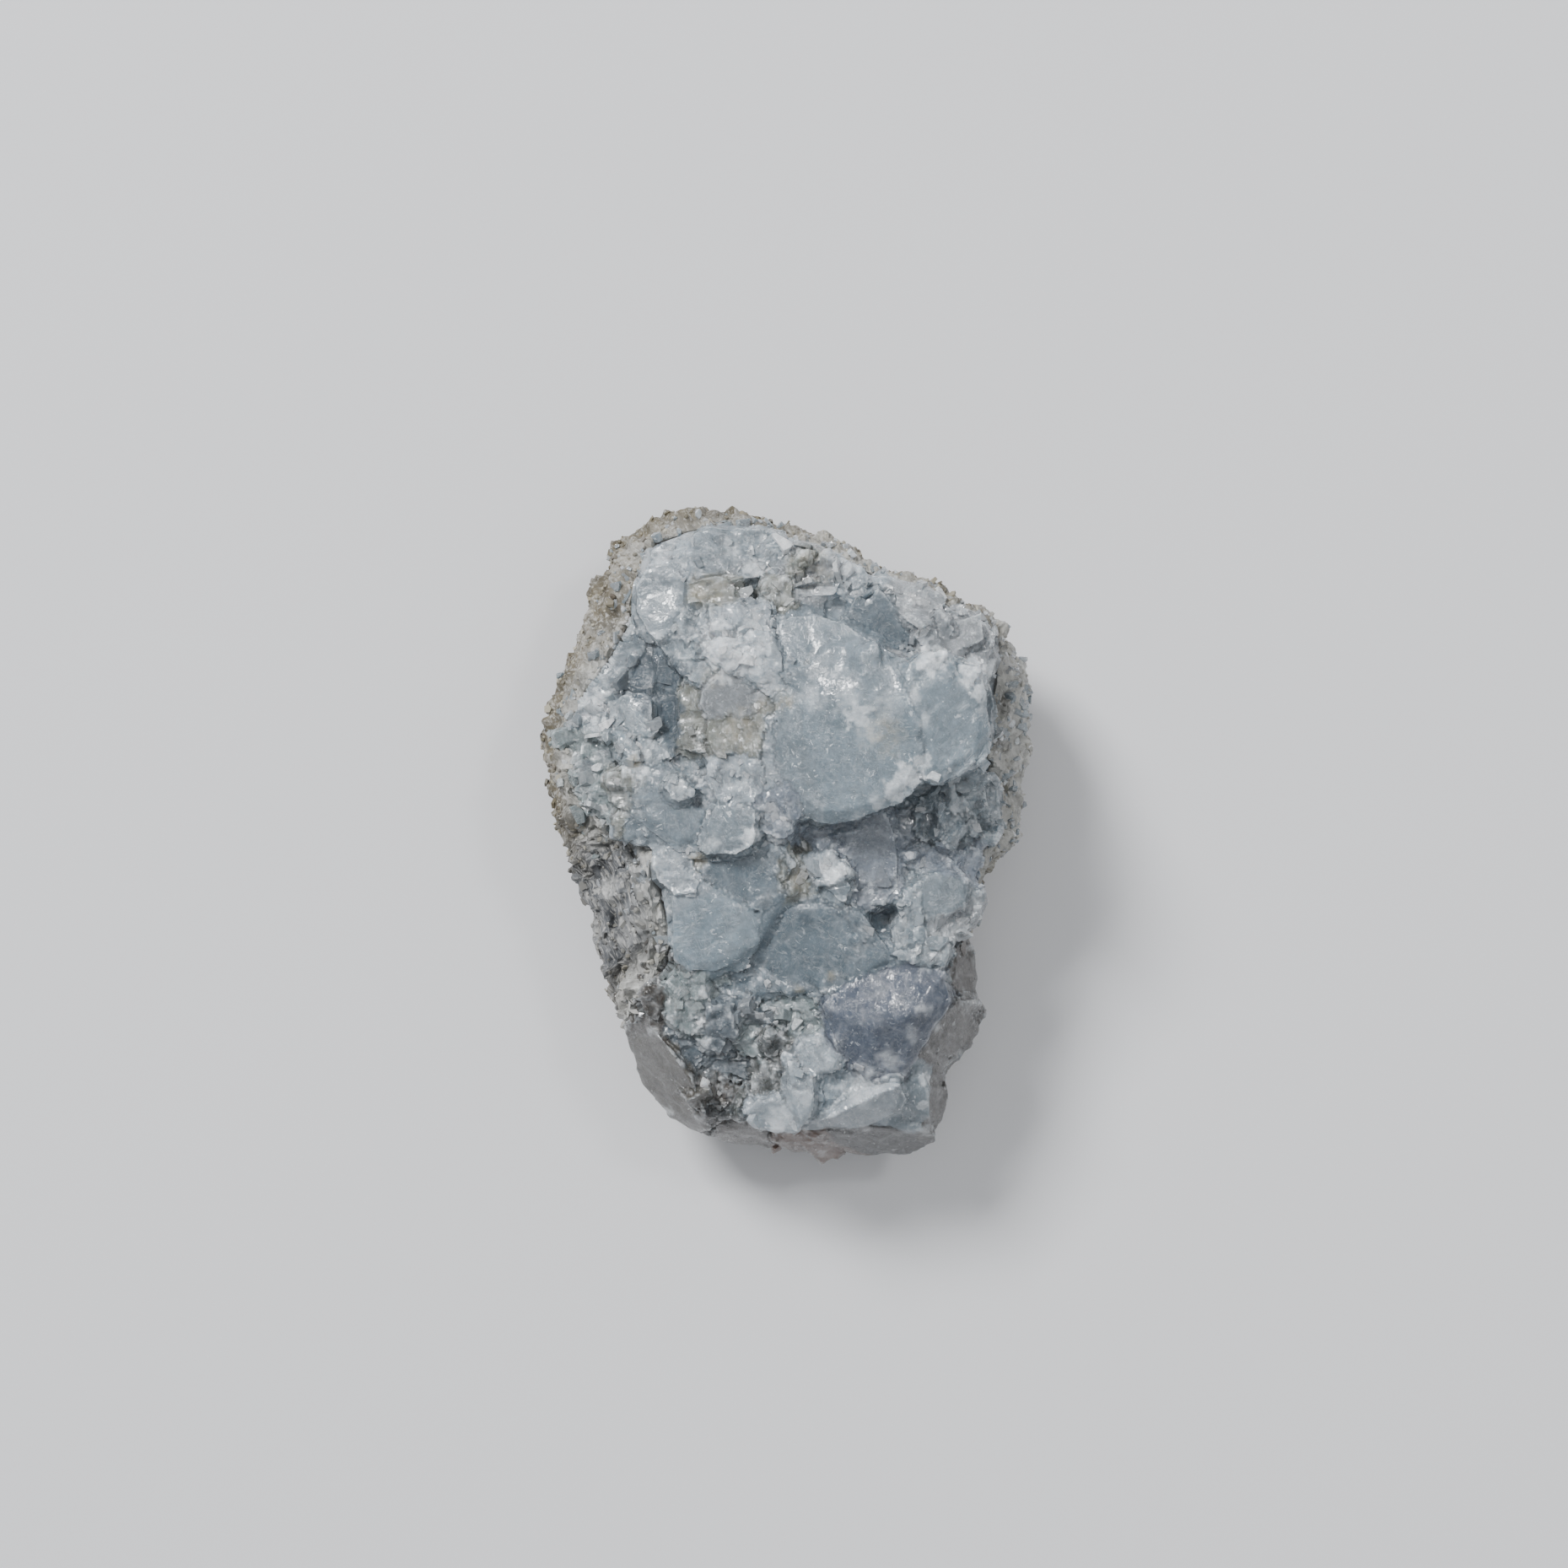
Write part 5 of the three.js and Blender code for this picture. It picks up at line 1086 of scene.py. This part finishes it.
def rind_mass(celestite, finish):
    """The rock that the crystals grew on: lumpy, granular and fibrous at its lower left."""
    crystal_tree = celestite.tree
    solid = thinned(evened(solid_copy("matrix_rind"), RIND_EDGE), crystal_tree)
    solid.normal_update()
    fibre_x, fibre_y = math.cos(FIBRE_TURN), math.sin(FIBRE_TURN)
    middle_x, middle_y, half_x, half_y = FIBRE_AREA
    fibrous = []
    own_places = []
    waves = []
    still = []
    for vert in solid.verts:
        place = vert.co
        off = math.hypot((place.x - middle_x) / half_x, (place.y - middle_y) / half_y)
        fibre = max(0.0, min(1.0, (1.4 - off + noise.noise(place * 0.5) * 0.5) / 0.9))
        fibrous.append(fibre)
        across = place.x * fibre_x + place.y * fibre_y
        along = -place.x * fibre_y + place.y * fibre_x
        own_places.append((across * (1 + 0.5 * fibre), along * (1 - 0.7 * fibre), place.z))
        _, normal, _, distance = crystal_tree.find_nearest(place)
        still.append(distance < CONTACT and vert.normal.dot(normal) < -0.3)
        streak = noise.noise(Vector((across * 2.6, along * 0.35, place.z * 0.8)))
        flat = max(0.0, min(1.0, place.z / 0.8))
        lift = noise.noise(place * 0.6) * 0.25 + noise.noise(place * 1.6) * 0.2 + streak * 0.4 * fibre
        waves.append((lift, 0.05 + 0.95 * flat))
    large, large_tone, _ = plates(own_places, 1.3, 40, 0.40, 0.12)
    small, small_tone, _ = plates(own_places, 0.6, 60, 0.45, 0.14)
    waves = np.array(waves)
    lifts = np.where(still, 0.0, (waves[:, 0] + large + small) * waves[:, 1])
    for vert, lift in zip(solid.verts, lifts):
        vert.co += vert.normal * lift
        vert.co.z = max(vert.co.z, 0.0)
    solid.normal_update()
    solid.verts.index_update()

    places = np.array([vert.co for vert in solid.verts])
    normals = np.array([vert.normal for vert in solid.verts])
    up = np.clip(normals[:, 2] * 2 + 0.6, 0, 1)
    tree = BVHTree.FromBMesh(solid)
    open_share = open_sky([Vector(place) for place in places], [Vector(one) for one in normals], [tree, crystal_tree])
    fibre = np.array(fibrous)[:, None]
    colours = linear(RIND_TINT) * (1 - fibre) + linear(FIBRE_TINT) * fibre
    near = np.array([2.2 - celestite.tree.find_nearest(Vector(place))[3] for place in places])
    near *= np.clip((14.0 - places[:, 1]) / 4, 0.35, 1) * np.where(places[:, 0] < 0, 0.6, 1.0)
    near = np.clip(np.maximum(near, (places[:, 0] - 11.5) * 0.5), 0, 1)[:, None] * 0.8
    cool = np.clip(np.maximum(near[:, 0] * 1.4, fibre[:, 0]), 0, 1)
    colours = colours * (1 - near) + linear(RIM_TINT) * near
    patch = np.array([noise.noise(Vector(place) * 0.35) for place in places])
    tone = large_tone * 0.14 + small_tone * 0.16
    colours = colours * (1 + patch * 0.25 + tone)[:, None]
    dark = marks(places, RIND_DARK_AND_SHADE, up)
    colours = colours * (1 - 0.7 * dark)[:, None]
    white = np.maximum(marks(places, RIND_WHITE, up), np.clip(patch * 1.1, 0, 0.4)) * (1 - dark)
    layers = {"tint": colours, "white": white, "open": open_share, "own_place": own_places, "cool": cool}
    ground = solid.copy()
    piece = finished_piece("rind_rock", solid, [finish], math.radians(30), layers)
    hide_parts("matrix_rind")
    return ground, tree, layers


def rind_grains(rock, rock_layers, finish):
    """The sugary grains of the rind, and the crystal bits that strew it."""
    draw = random.Random(41)
    shapes = [grain(draw) for _ in range(6)] + [flake(draw, 4) for _ in range(6)]
    open_share = rock_layers["open"]

    def wanted(place, face):
        if open_share[face.verts[0].index] < 0.05 or face.calc_area() > 0.2 or place.z < 0.5:
            return 0.0
        return 0.35 + max(0.0, noise.noise(place * 0.9)) * 0.9

    places = []
    origins = []
    for spot, normal, _ in spots(rock, GRAIN_TRIES, draw, wanted):
        if draw.random() < 0.7:
            size = min(0.42, 0.14 + draw.expovariate(1 / 0.08))
            places.append((draw.randrange(6), set_on(spot, normal, size, 0.4, 0.3, draw)))
        else:
            size = min(0.9, 0.35 + draw.expovariate(1 / 0.16))
            places.append((6 + draw.randrange(6), set_on(spot, normal, size, 0.5, 0.35, draw)))
        origins.append(spot)
    heap, counts = scattered(shapes, places)
    print("rind grains", len(counts), "faces", len(heap.faces))
    ground = KDTree(len(rock.verts))
    for index, vert in enumerate(rock.verts):
        ground.insert(vert.co, index)
    ground.balance()
    nearest = [ground.find(spot)[1] for spot in origins]
    tones = list(GRAIN_TONES)
    own = np.array([linear(draw.choices(tones, weights=[GRAIN_TONES[tone] for tone in tones])[0]) for _ in nearest])
    share = (0.7 - 0.45 * rock_layers["cool"][nearest])[:, None]
    own = own * share + rock_layers["tint"][nearest] * (1 - share)
    layers = {
        "tint": np.repeat(own, counts, axis=0),
        "white": np.repeat(rock_layers["white"][nearest], counts),
        # The grains take the rock's open share for their painted shade, held no lower than half.
        "open": np.repeat(np.maximum(open_share[nearest], 0.5), counts),
        "own_place": [vert.co for vert in heap.verts],
        "cool": np.repeat(rock_layers["cool"][nearest], counts),
    }
    return finished_piece("rind_grains", heap, [finish], math.radians(20), layers)


# The scene

def plain(name, colour, roughness):
    finish, _, surface, _ = new_finish(name)
    surface.inputs["Base Color"].default_value = (*linear(colour), 1)
    surface.inputs["Roughness"].default_value = roughness
    return finish


def floor():
    solid = bmesh.new()
    bmesh.ops.create_grid(solid, x_segments=1, y_segments=1, size=1.5)
    mesh = bpy.data.meshes.new("floor")
    solid.to_mesh(mesh)
    mesh.materials.append(plain("pale floor", (222, 223, 226), 0.6))
    piece = bpy.data.objects.new("floor", mesh)
    bpy.context.scene.collection.objects.link(piece)


def soft_light(name, place, size, watts):
    """A square soft light that faces the part."""
    light = bpy.data.lights.new(name, "AREA")
    light.size = size
    light.energy = watts
    lamp = bpy.data.objects.new(name, light)
    lamp.location = place
    lamp.rotation_euler = Vector(place).to_track_quat("Z", "Y").to_euler()
    bpy.context.scene.collection.objects.link(lamp)


def camera():
    """Straight above the part, as far off as the photograph's view."""
    view = bpy.data.cameras.new("camera")
    view.sensor_width = 36
    distance = 0.35
    view.lens = view.sensor_width * distance / 0.09657
    view.clip_start = 0.01
    eye = bpy.data.objects.new("camera", view)
    eye.location = (-0.00021, 0.00335, 0.009 + distance)
    bpy.context.scene.collection.objects.link(eye)
    bpy.context.scene.camera = eye


def solid_tree(node_name):
    copy = solid_copy(node_name)
    tree = BVHTree.FromBMesh(copy)
    copy.free()
    return tree


grown = celestite_finish("celestite", 0.30, linear((190, 205, 213)), 260.0, 0.45, 1.0)
icy = celestite_finish("icy celestite", 0.50, linear((190, 210, 221)), 150.0, 0.3, 0.8)
celestite = Celestite()
rind_solid = solid_tree("matrix_rind")
mass, mass_tree, mass_open = celestite_mass(celestite, rind_solid, [grown])
rock, rock_tree, rock_layers = rind_mass(celestite, rind_finish("rind rock", 0.7))
crust_crystals(celestite, mass, [mass_tree, rock_tree], mass_open, [icy])
strewn_crystals(celestite, rock, [mass_tree, rock_tree], [icy])
rind_grains(rock, rock_layers, rind_finish("rind grains", 0.2))

floor()
soft_light("window", (-0.5, 0.62, 0.8), 0.32, 16.4)
soft_light("second window", (0.45, 0.35, 0.9), 0.14, 1.8)
soft_light("ceiling", (0.2, -0.1, 1.1), 1.2, 2.6)
world = bpy.data.worlds.new("pale room")
world.use_nodes = True
world.node_tree.nodes["Background"].inputs["Color"].default_value = (0.92, 0.94, 0.97, 1)
world.node_tree.nodes["Background"].inputs["Strength"].default_value = 0.39
bpy.context.scene.world = world
camera()
